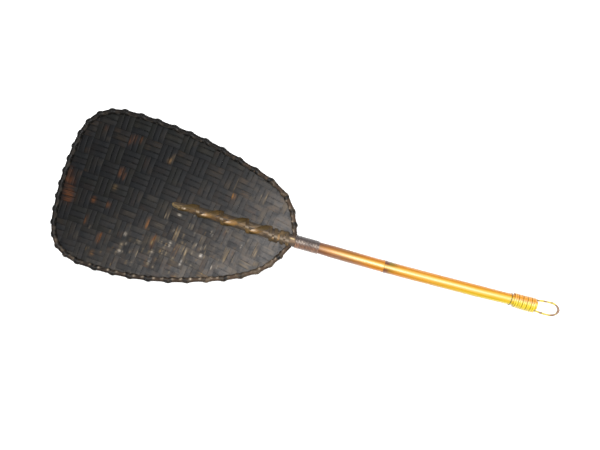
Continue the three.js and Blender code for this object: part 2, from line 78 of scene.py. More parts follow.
PRONG_STATIONS = np.array([
    [-103.3, 0.9, 1.35, 4.3], [-102.9, 1.5, 1.6, 4.3], [-102.4, 1.9, 1.7, 4.3], [-100.9, 2.4, 2.0, 4.25], [-96.4, 2.85, 2.4, 4.2],
    [-84.8, 3.3, 2.9, 4.0], [-65.5, 3.9, 3.3, 3.5], [-46.3, 4.15, 3.7, 2.7], [-23.0, 4.35, 4.15, 1.3],
    [-9.0, 4.4, 4.4, 0.3], [-4.0, 4.43, 4.43, 0],
])
GOLD_PASSES = [[-98.5, -84.2], [-80.6, -65.0], [-61.9, -44.7], [-41.6, -25.8], [-22.9, -12.6]]
DARK_PASSES = [
    [-84.2, -81.2], [-65.2, -62.0], [-44.5, -41.6], [-25.6, -23.2], [-20.8, -18.9], [-16.2, -14.3], [-11.6, -9.7],
]
BINDING_X = [-3.4, 14.8]
RING_X = [166.8, 168.4]
WRAP_X = [169.2, 187.4]
WRAP_TURNS = 10
SEAT_Y, SEAT_X = 3.3, 171.4
LOOP_R = 0.65
LOOP_STATIONS = np.array([
    [172.2, 4.18], [180.0, 4.18], [188.0, 4.25], [192.0, 4.6], [197.0, 4.88], [201.0, 4.55], [204.0, 3.2], [205.5, 1.2],
])


def smooth(lo, hi, x):
    t = np.clip((np.asarray(x, float) - lo) / (hi - lo), 0, 1)
    return t * t * (3 - 2 * t)


def catmull(points, steps):
    P = np.vstack([2 * points[0] - points[1], points, 2 * points[-1] - points[-2]])
    out = []
    for i in range(1, len(P) - 2):
        t = (np.arange(steps) / steps)[:, None]
        out.append(0.5 * (2 * P[i] + (P[i + 1] - P[i - 1]) * t
                          + (2 * P[i - 1] - 5 * P[i] + 4 * P[i + 1] - P[i + 2]) * t ** 2
                          + (3 * P[i] - P[i - 1] - 3 * P[i + 1] + P[i + 2]) * t ** 3))
    return np.vstack(out + [points[-1:]])


def wobble(t, scale, seed):
    """A smooth random line of about unit height along t, which changes over the length scale."""
    r = np.random.default_rng(seed)
    out = np.zeros_like(np.asarray(t, float))
    for k in range(5):
        out += r.normal(0, 0.6) * np.sin(np.asarray(t) * (2 * math.pi / scale) * r.uniform(0.4, 1.3) + r.uniform(0, 6.3))
    return out / 1.3


# ---------------------------------------------------------------- meshes

def sweep(rings, closed_ends=True):
    """Vertices and faces of a closed body through rings (n, m, 3)."""
    n, m = rings.shape[:2]
    i = np.arange(n - 1)[:, None] * m
    j = np.arange(m)[None, :]
    k = (j + 1) % m
    faces = np.stack([i + j, i + k, i + m + k, i + m + j], -1).reshape(-1, 4).tolist()
    if closed_ends:
        faces.append(list(range(m))[::-1])
        faces.append([(n - 1) * m + q for q in range(m)])
    return rings.reshape(-1, 3), faces


def join(parts):
    verts, faces, at = [], [], 0
    for v, f in parts:
        verts.append(v)
        faces += [[q + at for q in face] for face in f]
        at += len(v)
    return np.vstack(verts), faces


BOW = np.array([
    [-45, 0.0], [-30, 0.12], [-15, 0.5], [0, 0.8], [12, 0.62], [25, 0.32], [40, 0.02], [60, -0.27], [80, -0.42], [95, -0.38],
    [120, -0.22], [140, -0.08], [155, 0.2], [170, 0.5], [185, 0.65], [195, 0.85], [206, 1.1],
])


def bow(x):
    """The culm isn't quite straight: its middle lies this far to one side of the line between its ends."""
    fine = np.arange(-60, 220, 1.0)
    line = np.interp(fine, BOW[:, 0], BOW[:, 1])
    kernel = np.hanning(31)
    line = np.convolve(np.pad(line, 15, "edge"), kernel / kernel.sum(), "valid")
    return np.interp(x, fine, line)


def bowed(v):
    v = np.array(v, float)
    v[..., 1] += bow(v[..., 0])
    return v


def make(name, verts, faces, material, stands_for=(), attributes=None, sharp=38):
    mesh = bpy.data.meshes.new(name)
    mesh.from_pydata(((np.asarray(verts) + SHIFT) * 0.001).tolist(), [], faces)
    bm = bmesh.new()
    bm.from_mesh(mesh)
    bmesh.ops.recalc_face_normals(bm, faces=bm.faces)
    bm.to_mesh(mesh)
    bm.free()
    mesh.polygons.foreach_set("use_smooth", [True] * len(mesh.polygons))
    mesh.set_sharp_from_angle(angle=math.radians(sharp))
    for key, values in (attributes or {}).items():
        a = mesh.attributes.new(key, "FLOAT", "POINT")
        a.data.foreach_set("value", np.asarray(values, np.float32))
    mesh.materials.append(material)
    obj = bpy.data.objects.new(name, mesh)
    bpy.context.scene.collection.objects.link(obj)
    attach(obj, "root")
    if stands_for:
        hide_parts(*stands_for)
    return obj


# ---------------------------------------------------------------- materials

class Look:
    """A node material round one Principled shader."""

    def __init__(self, name, **values):
        self.material = bpy.data.materials.new(name)
        self.material.use_nodes = True
        self.tree = self.material.node_tree
        self.tree.nodes.clear()
        out = self.tree.nodes.new("ShaderNodeOutputMaterial")
        self.shader = self.tree.nodes.new("ShaderNodeBsdfPrincipled")
        self.tree.links.new(self.shader.outputs[0], out.inputs["Surface"])
        for key, value in values.items():
            self.shader.inputs[key].default_value = value

    def put(self, socket, value):
        if hasattr(value, "is_linked"):
            self.tree.links.new(value, socket)
        elif value is not None:
            socket.default_value = value

    def set(self, key, value):
        self.put(self.shader.inputs[key], value)

    def attribute(self, name):
        n = self.tree.nodes.new("ShaderNodeAttribute")
        n.attribute_name = name
        return n.outputs["Fac"]

    def object(self):
        return self.tree.nodes.new("ShaderNodeTexCoord").outputs["Object"]

    def xyz(self, vector):
        n = self.tree.nodes.new("ShaderNodeSeparateXYZ")
        self.put(n.inputs[0], vector)
        return n.outputs[0], n.outputs[1], n.outputs[2]

    def vector(self, x, y, z):
        n = self.tree.nodes.new("ShaderNodeCombineXYZ")
        for s, v in zip(n.inputs, (x, y, z)):
            self.put(s, v)
        return n.outputs[0]

    def math(self, op, a, b=None, c=None, clamp=False):
        n = self.tree.nodes.new("ShaderNodeMath")
        n.operation = op
        n.use_clamp = clamp
        for s, v in zip(n.inputs, (a, b, c)):
            self.put(s, v)
        return n.outputs[0]

    def scale(self, vector, by):
        n = self.tree.nodes.new("ShaderNodeVectorMath")
        n.operation = "MULTIPLY"
        self.put(n.inputs[0], vector)
        n.inputs[1].default_value = by
        return n.outputs[0]

    def noise(self, vector, scale=1.0, detail=3.0, rough=0.55, distort=0.0):
        n = self.tree.nodes.new("ShaderNodeTexNoise")
        self.put(n.inputs["Vector"], vector)
        n.inputs["Scale"].default_value = scale
        n.inputs["Detail"].default_value = detail
        n.inputs["Roughness"].default_value = rough
        n.inputs["Distortion"].default_value = distort
        return n.outputs["Fac"]

    def range(self, value, lo, hi, to_lo=0.0, to_hi=1.0, kind="SMOOTHSTEP"):
        n = self.tree.nodes.new("ShaderNodeMapRange")
        n.interpolation_type = kind
        self.put(n.inputs["Value"], value)
        for key, v in (("From Min", lo), ("From Max", hi), ("To Min", to_lo), ("To Max", to_hi)):
            n.inputs[key].default_value = v
        return n.outputs[0]

    def mix(self, factor, a, b, blend="MIX"):
        n = self.tree.nodes.new("ShaderNodeMix")
        n.data_type = "RGBA"
        n.blend_type = blend
        self.put(n.inputs[0], factor)
        for s, v in ((n.inputs[6], a), (n.inputs[7], b)):
            self.put(s, (*v, 1) if isinstance(v, tuple) and len(v) == 3 else v)
        return n.outputs[2]

    def ramp(self, factor, stops):
        n = self.tree.nodes.new("ShaderNodeValToRGB")
        self.put(n.inputs[0], factor)
        e = n.color_ramp.elements
        while len(e) < len(stops):
            e.new(0.5)
        for q, (at, colour) in zip(e, stops):
            q.position = at
            q.color = (*colour, 1)
        return n.outputs[0]

    def bump(self, height, distance, strength=1.0, after=None):
        n = self.tree.nodes.new("ShaderNodeBump")
        n.inputs["Strength"].default_value = strength
        n.inputs["Distance"].default_value = distance
        self.put(n.inputs["Height"], height)
        if after is not None:
            self.put(n.inputs["Normal"], after)
        return n.outputs[0]


def splint_look():
    m = Look("lacquered_splint_look", **{"Coat Weight": 0.02, "Coat Roughness": 0.3, "Specular IOR Level": 0.085})
    along, across = m.attribute("along"), m.attribute("across")
    tone, hue, wear_and_glint, warm = m.attribute("tone"), m.attribute("hue"), m.attribute("wear_and_glint"), m.attribute("warm")
    dust_and_glare = m.attribute("dust_and_glare")
    fibre = m.noise(m.vector(m.math("MULTIPLY", along, 0.10), m.math("MULTIPLY", across, 2.2), m.math("MULTIPLY", tone, 41.0)), 1.0, 5, 0.6)
    fine = m.noise(m.vector(m.math("MULTIPLY", along, 0.5), m.math("MULTIPLY", across, 7.0), m.math("MULTIPLY", hue, 23.0)), 1.0, 3, 0.6)
    blotch = m.noise(m.scale(m.object(), (1000, 1000, 1000)), 0.16, 4, 0.6)
    # A few strokes to a splint, each about as wide as a fifth of it.
    stroke = m.noise(m.vector(m.math("MULTIPLY", along, 0.11), m.math("MULTIPLY", across, 0.85), m.math("MULTIPLY", tone, 57.0)), 1.0, 3, 0.5)
    base = m.ramp(hue, [(0.0, (0.0023, 0.0023, 0.0025)), (0.35, (0.0020, 0.0024, 0.0029)), (0.6, (0.0026, 0.0028, 0.0024)),
                        (0.82, (0.0030, 0.0027, 0.0026)), (1.0, (0.0040, 0.0032, 0.0028))])
    shade = m.mix(m.range(fibre, 0.38, 0.68), base, m.mix(1.0, base, (1.9, 1.85, 1.8), "MULTIPLY"))
    # Towards the neck and the lower edge the black is lifted to grey and brown: partly dust, partly painted glare of
    # the light.
    lifted = m.mix(m.math("MULTIPLY", dust_and_glare, m.range(blotch, 0.30, 0.62, 0.55, 1.0)), shade, m.mix(m.range(blotch, 0.4, 0.65), (0.068, 0.066, 0.066), (0.086, 0.075, 0.066)))
    brown = m.mix(m.math("MULTIPLY", m.range(blotch, 0.54, 0.75), m.math("ADD", m.math("MULTIPLY", dust_and_glare, 0.22), 0.05)), lifted, (0.030, 0.017, 0.010))
    streak = m.math("MULTIPLY", wear_and_glint, m.math("MULTIPLY", m.range(fine, 0.24, 0.52, 0.5, 1.0), m.range(stroke, 0.38, 0.60, 0.28, 1.12)), clamp=True)
    # The palest end of this ramp is for painted glints; the warmer colours are bare bamboo.
    bare_and_highlight = m.ramp(warm, [(0.0, (0.32, 0.29, 0.26)), (0.28, (0.20, 0.155, 0.10)), (0.45, (0.130, 0.084, 0.033)), (0.75, (0.104, 0.036, 0.007)), (1.0, (0.088, 0.024, 0.003))])
    m.set("Base Color", m.mix(streak, brown, bare_and_highlight))
    m.set("Roughness", m.range(m.math("ADD", m.math("MULTIPLY", fibre, 0.5), m.math("MULTIPLY", blotch, 0.5)), 0.3, 0.7, 0.52, 0.64))
    near = m.bump(fine, 0.00003, 0.8)
    m.set("Normal", m.bump(fibre, 0.00006, 0.8, near))
    return m.material


def cane_look(name, dark, light, gold, coat=0.2, rough=(0.32, 0.5), grain=0.00005, edge=None, spec=0.5):
    """Split cane: fine lengthwise fibres. `warm` takes it from its dark lacquer to bare golden cane."""
    m = Look(name, **{"Coat Weight": coat, "Coat Roughness": 0.22, "Specular IOR Level": spec})
    along, across = m.attribute("along"), m.attribute("across")
    tone, warm = m.attribute("tone"), m.attribute("warm")
    fibre = m.noise(m.vector(m.math("MULTIPLY", along, 0.16), m.math("MULTIPLY", across, 3.4), m.math("MULTIPLY", tone, 31.0)), 1.0, 5, 0.62)
    patch = m.noise(m.vector(m.math("MULTIPLY", along, 0.22), m.math("MULTIPLY", across, 0.35), m.math("MULTIPLY", tone, 17.0)), 1.0, 3, 0.5)
    body = m.mix(m.range(fibre, 0.36, 0.66), dark, light)
    bare = m.mix(m.range(fibre, 0.34, 0.7), tuple(0.62 * c for c in gold), gold)
    shown = m.math("ADD", warm, m.math("MULTIPLY", m.math("SUBTRACT", patch, 0.5), 0.9), clamp=True)
    colour = m.mix(m.range(shown, 0.25, 0.85), body, bare)
    # rub_and_highlight lays on a pale colour: partly painted highlights and glints, partly rubbed bare cane.
    rubbed_highlight = m.math("MULTIPLY", m.attribute("rub_and_highlight"), m.range(fibre, 0.30, 0.55, 0.45, 1.0))
    colour = m.mix(rubbed_highlight, colour, (0.56, 0.45, 0.34))
    if edge:  # a colour at the strip's two edges: on the butt wrap darker at the edges of each turn; on the hoops a lighter tint painted over the shade of their inner wall
        colour = m.mix(m.range(m.math("ABSOLUTE", across), edge[0], edge[1], 0.0, edge[2]), colour, edge[3])
    m.set("Base Color", colour)
    m.set("Roughness", m.range(fibre, 0.3, 0.7, *rough))
    m.set("Normal", m.bump(fibre, grain, 0.8))
    return m.material


def handle_look():
    """Bamboo skin, from dark lacquer on the tongue through red-brown at the neck to golden at the butt."""
    m = Look("handle_bamboo_look", **{"Coat Weight": 0.1, "Coat Roughness": 0.2, "Specular IOR Level": 0.5})
    place = m.object()
    # Each point's place along the culm and to the side of its crown, in millimetres.
    axis_x, side = m.attribute("axial"), m.attribute("side")
    fibre = m.noise(m.scale(place, (26, 1500, 1500)), 1.0, 5, 0.6)
    fine = m.noise(m.scale(place, (70, 4200, 4200)), 1.0, 3, 0.6)
    patch = m.noise(m.scale(place, (45, 160, 160)), 1.0, 4, 0.6)
    at = m.math("ADD", axis_x, m.math("MULTIPLY", m.math("SUBTRACT", patch, 0.5), 16.0))
    along = m.range(at, -104.0, 188.0, 0.0, 1.0, "LINEAR")
    p = lambda v: (v + 104.0) / 292.0
    # The crown's paler and the flanks' darker colours are partly the skin's own and partly painted light: a lit crown
    # and shaded flanks.
    crown = m.ramp(along, [
        (p(-104), (0.130, 0.092, 0.038)), (p(-92), (0.100, 0.063, 0.026)), (p(-84), (0.058, 0.033, 0.011)), (p(-60), (0.078, 0.042, 0.012)),
        (p(-44), (0.110, 0.072, 0.033)), (p(-10), (0.125, 0.090, 0.060)),
        (p(12), (0.23, 0.100, 0.022)), (p(24), (0.37, 0.165, 0.018)), (p(40), (0.48, 0.275, 0.055)), (p(56), (0.53, 0.330, 0.080)),
        (p(85), (0.55, 0.355, 0.075)), (p(120), (0.58, 0.385, 0.070)), (p(188), (0.63, 0.480, 0.060)),
    ])
    flank = m.ramp(along, [
        (p(-104), (0.040, 0.030, 0.015)), (p(-84), (0.028, 0.021, 0.012)), (p(-60), (0.044, 0.031, 0.016)), (p(-44), (0.064, 0.049, 0.030)),
        (p(-10), (0.066, 0.050, 0.037)), (p(12), (0.095, 0.038, 0.020)), (p(24), (0.19, 0.067, 0.011)), (p(40), (0.24, 0.095, 0.007)), (p(54), (0.37, 0.130, 0.007)),
        (p(85), (0.44, 0.180, 0.016)), (p(120), (0.45, 0.184, 0.011)), (p(188), (0.51, 0.225, 0.011)),
    ])
    # On the tongue the pale part is wider and lies a little lower.
    centre = m.range(axis_x, -14.0, -3.0, -0.5, 0.35)
    spread = m.range(axis_x, -14.0, -3.0, 0.62, 1.0)
    off = m.math("ADD", m.math("MULTIPLY", m.math("ABSOLUTE", m.math("SUBTRACT", side, centre)), spread), m.math("MULTIPLY", m.math("SUBTRACT", fibre, 0.5), 1.6))
    colour = m.mix(m.range(off, 0.5, 2.6), crown, flank)
    # A painted highlight: a pale line along the crest from the neck to the butt.
    painted_highlight = m.ramp(along, [(p(16), (0.50, 0.270, 0.080)), (p(45), (0.62, 0.42, 0.14)), (p(90), (0.60, 0.51, 0.20)), (p(130), (0.62, 0.54, 0.29)), (p(155), (0.62, 0.56, 0.24)), (p(188), (0.64, 0.56, 0.16))])
    crest = m.math("ADD", m.math("ABSOLUTE", m.math("SUBTRACT", side, 0.3)), m.math("MULTIPLY", m.math("SUBTRACT", fibre, 0.5), 0.9))
    colour = m.mix(m.math("MULTIPLY", m.range(crest, 0.1, 1.35, 0.85, 0.0), m.range(axis_x, 15.0, 30.0)), colour, painted_highlight)
    # Old lacquer is left in blotches along the lower flank between the neck and the node.
    mottle = m.noise(m.scale(place, (150, 520, 520)), 1.0, 3, 0.55)
    left = m.math("MULTIPLY", m.math("MULTIPLY", m.range(side, -0.7, -2.2), m.range(axis_x, 19.0, 28.0)), m.range(at, 40.0, 58.0, 1.0, 0.0))
    colour = m.mix(m.math("MULTIPLY", left, m.range(mottle, 0.36, 0.60, 0.15, 1.0)), colour, (0.190, 0.095, 0.055))
    # The tongue's skin is blotched with what is left of its lacquer.
    front = m.range(axis_x, -10.0, -4.0, 1.0, 0.0)
    colour = m.mix(m.math("MULTIPLY", front, m.range(mottle, 0.44, 0.58, 0.0, 0.72)), colour, (0.016, 0.012, 0.009))
    # A painted glint just before the binding.
    painted_glint = m.math("MULTIPLY", m.range(m.math("ABSOLUTE", m.math("ADD", axis_x, 7.0)), 0.8, 2.6, 1.0, 0.0), m.range(m.math("ABSOLUTE", m.math("SUBTRACT", side, 1.3)), 0.2, 1.0, 0.8, 0.0))
    colour = m.mix(painted_glint, colour, (0.46, 0.37, 0.21))
    # One flank is yellower than the other towards the butt.
    colour = m.mix(m.math("MULTIPLY", m.range(side, -0.6, -3.2, 0.0, 1.0), m.range(axis_x, 65.0, 160.0)), colour, m.mix(1.0, colour, (1.08, 1.90, 1.3), "MULTIPLY"))
    streaked = m.mix(m.range(fibre, 0.34, 0.66), m.mix(1.0, colour, (0.78, 0.70, 0.62), "MULTIPLY"), colour)
    flecked = m.mix(m.math("MULTIPLY", m.range(fine, 0.60, 0.78), 0.5), streaked, m.mix(1.0, colour, (0.5, 0.38, 0.28), "MULTIPLY"))
    # The darker band that follows the node, strongest on the two flanks.
    beyond = m.math("SUBTRACT", axis_x, NODE_X)
    start = m.range(beyond, -0.25, 0.15)
    reach = m.math("ADD", m.math("MULTIPLY", m.math("SUBTRACT", patch, 0.5), 6.0), m.range(side, -0.8, -2.6, 0.0, 4.0))  # it ends sooner on the lower flank
    fade = m.range(m.math("ADD", beyond, reach), 3.0, 13.5, 1.0, 0.0)
    flank = m.range(off, 0.7, 2.3, 0.10, 1.0)
    band = m.math("MULTIPLY", m.math("MULTIPLY", start, fade), flank)
    tint = m.mix(m.range(beyond, 2.2, 4.6), (0.085, 0.036, 0.027), (0.105, 0.085, 0.010))
    banded = m.mix(m.math("MULTIPLY", band, 0.9), flecked, tint)
    line = m.math("MULTIPLY", m.math("MULTIPLY", m.range(beyond, -0.55, -0.2), m.range(beyond, 0.1, 0.4, 1.0, 0.0)), flank)
    lined = m.mix(m.math("MULTIPLY", line, 0.7), banded, (0.10, 0.036, 0.014))
    m.set("Base Color", lined)
    m.set("Roughness", m.math("ADD", m.range(fibre, 0.3, 0.7, 0.19, 0.29), m.math("ADD", m.range(axis_x, 22.0, 62.0, 0.26, 0.0), m.range(axis_x, -12.0, 12.0, 0.46, 0.0))))
    m.set("Normal", m.bump(fine, 0.00002, 0.6, m.bump(fibre, 0.00005, 0.7)))
    return m.material


def thread_look(name, dark, light, warm_colour):
    """Fine lacquered thread: the twist of its plies shows along each turn."""
    m = Look(name, **{"Coat Weight": 0.15, "Coat Roughness": 0.2, "Specular IOR Level": 0.42})
    along, across, tone, warm = m.attribute("along"), m.attribute("across"), m.attribute("tone"), m.attribute("warm")
    twist = m.math("SINE", m.math("ADD", m.math("MULTIPLY", along, 7.0), m.math("MULTIPLY", across, 5.0)))
    fuzz = m.noise(m.vector(m.math("MULTIPLY", along, 1.3), m.math("MULTIPLY", across, 4.0), m.math("MULTIPLY", tone, 9.0)), 1.0, 4, 0.6)
    patch = m.noise(m.vector(m.math("MULTIPLY", along, 0.05), 0.0, m.math("MULTIPLY", tone, 5.0)), 1.0, 3, 0.5)
    body = m.mix(m.range(m.math("ADD", fuzz, m.math("MULTIPLY", twist, 0.08)), 0.35, 0.65), dark, light)
    shown = m.mix(m.math("MULTIPLY", m.range(patch, 0.35, 0.65, 0.4, 1.0), warm), body, warm_colour)
    # The thread's crest is painted pale: a painted highlight, drawn as rubbed thread.
    rubbed_highlight = m.math("MULTIPLY", m.attribute("rub_and_highlight"), m.range(fuzz, 0.35, 0.6, 0.35, 1.0))
    bare_and_highlight = m.mix(rubbed_highlight, shown, (0.52, 0.41, 0.33))
    # The grooves between the turns are darkened: painted shade.
    m.set("Base Color", m.mix(m.attribute("painted_groove_shade"), bare_and_highlight, (0.022, 0.018, 0.016)))
    m.set("Roughness", m.range(fuzz, 0.3, 0.7, 0.26, 0.44))
    m.set("Normal", m.bump(m.math("ADD", fuzz, m.math("MULTIPLY", twist, 0.25)), 0.00006, 0.7))
    return m.material


def floor_look():
    m = Look("floor_look", **{"Specular IOR Level": 0.1})
    grain = m.noise(m.scale(m.object(), (900, 900, 900)), 1.0, 4, 0.6)
    m.set("Base Color", m.mix(m.range(grain, 0.3, 0.7), (0.86, 0.86, 0.855), (0.89, 0.89, 0.885)))
    m.set("Roughness", 0.85)
    return m.material


SPLINT = splint_look()
# The hoops' edge colour is a lighter tint on their inner wall: painted light over its shade.
HOOP = cane_look("rim_hoop_look", (0.0034, 0.0030, 0.0028), (0.0072, 0.0056, 0.0046), (0.060, 0.038, 0.024), 0.02, (0.52, 0.66), spec=0.08, edge=(4.5, 5.2, 0.9, (0.036, 0.032, 0.028)))
LASHING = cane_look("rim_lashing_look", (0.0028, 0.0026, 0.0025), (0.0070, 0.0062, 0.0055), (0.090, 0.064, 0.041), 0.03, (0.42, 0.60), spec=0.14)
GOLD = cane_look("gold_cane_look", (0.028, 0.018, 0.007), (0.058, 0.037, 0.013), (0.185, 0.098, 0.029), 0.02, (0.50, 0.64), spec=0.12)
DARK = cane_look("dark_cane_look", (0.022, 0.014, 0.007), (0.044, 0.028, 0.012), (0.120, 0.073, 0.027), 0.02, (0.50, 0.64), spec=0.12)
WRAP = cane_look("butt_cane_look", (0.50, 0.190, 0.010), (0.62, 0.280, 0.018), (0.70, 0.540, 0.030), 0.15, (0.22, 0.36), edge=(0.45, 0.85, 0.9, (0.20, 0.072, 0.007)))
LOOP = cane_look("loop_cane_look", (0.16, 0.090, 0.050), (0.27, 0.165, 0.095), (0.58, 0.47, 0.080), 0.05, (0.40, 0.55), spec=0.3)
ROD = handle_look()
THREAD = thread_look("neck_thread_look", (0.036, 0.030, 0.030), (0.086, 0.068, 0.063), (0.275, 0.134, 0.074))
RING = thread_look("ring_thread_look", (0.040, 0.028, 0.008), (0.100, 0.070, 0.018), (0.14, 0.09, 0.03))

# ---------------------------------------------------------------- the rim's line

rim_points = catmull(RIM_STATIONS, 24)
rim_length = np.concatenate([[0], np.cumsum(np.hypot(*np.diff(rim_points, axis=0).T))])
RIM_LENGTH = rim_length[-1]


def rim_at(s):
    s = np.clip(s, 0, RIM_LENGTH)
    return np.stack([np.interp(s, rim_length, rim_points[:, c]) for c in (0, 1)], -1)


def rim_place(s, r, z):
    """Points at lengths s along the rim, r inwards of its outer edge, at heights z."""
    s = np.asarray(s, float)
    p = rim_at(s)
    on = np.clip(s, 0, RIM_LENGTH)
    t = rim_at(np.minimum(RIM_LENGTH, on + 1.5)) - rim_at(np.maximum(0, on - 1.5))
    t /= np.linalg.norm(t, axis=-1, keepdims=True)
    beyond = np.minimum(s, 0) + np.maximum(s - RIM_LENGTH, 0)
    p = p + t * beyond[..., None]
    inward = np.stack([-t[..., 1], t[..., 0]], -1)
    return np.concatenate([p + inward * np.asarray(r)[..., None], np.broadcast_to(np.asarray(z, float), s.shape)[..., None]], -1)


# The bundle of the two hoops, as a rounded outline. q runs round it from the middle of its outer side (0) over the
# front to the middle of its inner side (HALF_ROUND), and on the back from 0 to -HALF_ROUND.
POWER = 2.6
_phi = np.linspace(0, math.pi, 400)
_r = HALF_W - HALF_W * np.sign(np.cos(_phi)) * np.abs(np.cos(_phi)) ** (2 / POWER)
_z = HALF_H * np.abs(np.sin(_phi)) ** (2 / POWER)
_q = np.concatenate([[0], np.cumsum(np.hypot(np.diff(_r), np.diff(_z)))])
HALF_ROUND = _q[-1]
_nr, _nz = -np.gradient(_z, _q), np.gradient(_r, _q)
_nl = np.hypot(_nr, _nz)
_nr, _nz = _nr / _nl, _nz / _nl


def bundle(q, lift):
    """(r, z) on the outline at q, raised by lift."""
    q = np.asarray(q, float)
    turn = (q + HALF_ROUND) % (2 * HALF_ROUND) - HALF_ROUND
    a = np.abs(turn)
    front = np.where(turn < 0, -1.0, 1.0)
    r = np.interp(a, _q, _r) + lift * np.interp(a, _q, _nr)
    z = np.interp(a, _q, _z) + lift * np.interp(a, _q, _nz)
    return r, z * front


def rim_warmth(points):
    """How far the lacquer has gone from the rim: it is near black at the far upper end and browner towards the neck."""
    x, y = points[..., 0], points[..., 1]
    return np.clip(0.62 * smooth(-120, -10, x) + 0.42 * smooth(10, -58, y), 0, 1)


# Painted glints where the strips bend over the bundle's inner shoulder, most of them on the lower edge.
glint_points = []
_chance = np.random.default_rng(91)
for _s in LASHING_AT:
    for _side in (-1, 1):
        _at = rim_place(np.array([_s + _side * (3.9 + _chance.normal(0, 0.35))]), np.array([2.75 + _chance.normal(0, 0.2)]), np.array([0.0]))[0]
        _near = 0.08 + 0.75 * smooth(-30, -48, _at[1]) * (0.30 + 0.70 * smooth(-180, -120, _at[0])) + 0.55 * smooth(-45, -10, _at[0]) * smooth(60, 20, _at[1])
        glint_points.append((_at[0], _at[1], min(0.75, _near) * _chance.uniform(0.35, 1.0)))


def rim_glint(v):
    out = np.zeros(len(v))
    for x, y, strength in glint_points:
        near = (np.abs(v[:, 0] - x) < 3) & (np.abs(v[:, 1] - y) < 3) & (v[:, 2] > 0)
        d2 = (v[near, 0] - x) ** 2 + (v[near, 1] - y) ** 2
        out[near] = np.maximum(out[near], strength * np.exp(-d2 / 0.62))
    return out


stops = np.append(np.arange(-3.3, RIM_LENGTH + 3.5, 1.5), RIM_LENGTH + 4.4)  # the ends run on to the neck binding
for name, up in (("rim_hoop_front", 1), ("rim_hoop_back", -1)):
    q_low = np.interp(CLAMP_Z, _z[:200], _q[:200])
    qs = np.linspace(q_low, HALF_ROUND - q_low, 15)
    swell = 1 + 0.02 * wobble(stops, 60, 11 + up)
    lift = 0.05 * wobble(stops, 23, 5 + up)[:, None] * np.ones(len(qs))
    r, z = bundle(np.broadcast_to(qs, (len(stops), len(qs))), np.minimum(lift, 0.05) - 0.03)
    z = CLAMP_Z + (z - CLAMP_Z) * swell.clip(0.96, 1.0)[:, None]
    rings = rim_place(np.broadcast_to(stops[:, None], r.shape), r, up * z)
    v, f = sweep(rings)
    make(name + "_half_round", v, f, HOOP, [name], {
        "along": np.repeat(stops, len(qs)), "across": np.tile(qs, len(stops)),
        "tone": np.full(len(v), 0.3 + 0.2 * up), "warm": (rim_warmth(v) * 0.9 + 0.12).clip(0, 1), "rub_and_highlight": rim_glint(v) * 0.7,
    })

# ---------------------------------------------------------------- the rim's lashing

STRIP_W, STRIP_T = 3.0, 0.35
gap_before = np.diff(LASHING_AT, prepend=LASHING_AT[0] - 14)
gap_after = np.diff(LASHING_AT, append=LASHING_AT[-1] + 14)
room = np.minimum(3.6, 0.25 * np.minimum(gap_before, gap_after))


def path_through(knots, step):
    """A line through (s, q) knots with its corners slightly rounded."""
    knots = np.asarray(knots, float)
    d = np.concatenate([[0], np.cumsum(np.hypot(*np.diff(knots, axis=0).T))])
    n = int(d[-1] / step)
    fine = np.linspace(0, d[-1], n)
    line = np.stack([np.interp(fine, d, knots[:, c]) for c in (0, 1)], -1)
    kernel = np.hanning(9)
    kernel /= kernel.sum()
    padded = np.vstack([np.repeat(line[:1], 4, 0), line, np.repeat(line[-1:], 4, 0)])
    return np.stack([np.convolve(padded[:, c], kernel, "valid") for c in (0, 1)], -1)


def lashing_knots(second):
    # q falls steadily along the first strip and rises along the second, by a whole round each turn.
    knots, turn = [], 0.0
    whole = 2 * HALF_ROUND
    for k, s in enumerate(LASHING_AT):
        if not second:
            knots += [(s - room[k], HALF_ROUND - k * whole), (s, -k * whole)]
        else:
            knots += [(s, k * whole), (s + room[k], HALF_ROUND + k * whole)]
    return knots


def ribbon(line, widths, lifts, place, thick, f=(-1, -0.86, -0.45, 0, 0.45, 0.86, 1)):
    """A flat strip, conforming to the surface that place(a, q, lift) unrolls. lifts(a, q) is how far its inner face stands off."""
    t = np.gradient(line, axis=0)
    t /= np.linalg.norm(t, axis=1, keepdims=True)
    side = np.stack([-t[:, 1], t[:, 0]], -1)
    f = np.array(f)
    crown = 1 - 0.45 * np.abs(f) ** 3
    at = line[:, None, :] + side[:, None, :] * (f[None, :, None] * widths[:, None, None] / 2)
    low = lifts(at[..., 0], at[..., 1])
    outer = place(at[..., 0], at[..., 1], low + thick * crown)
    inner = place(at[..., 0], at[..., 1], low + thick * (1 - crown) * 0.2)
    rings = np.concatenate([outer, inner[:, ::-1]], 1)
    v, faces = sweep(rings)
    d = np.concatenate([[0], np.cumsum(np.hypot(*np.diff(line, axis=0).T))])
    m = rings.shape[1]
    across = np.concatenate([f, f[::-1]])[None, :] * widths[:, None] / 2
    return v, faces, np.repeat(d, m), across.ravel()


first_line = path_through(lashing_knots(False), 0.42)
second_line = path_through(lashing_knots(True), 0.42)


def on_rim(s, q, lift):
    r, z = bundle(q, lift)
    return rim_place(s, r, z)


def folded(line):
    q = (line[:, 1] + HALF_ROUND) % (2 * HALF_ROUND) - HALF_ROUND
    return line[:, 0], q


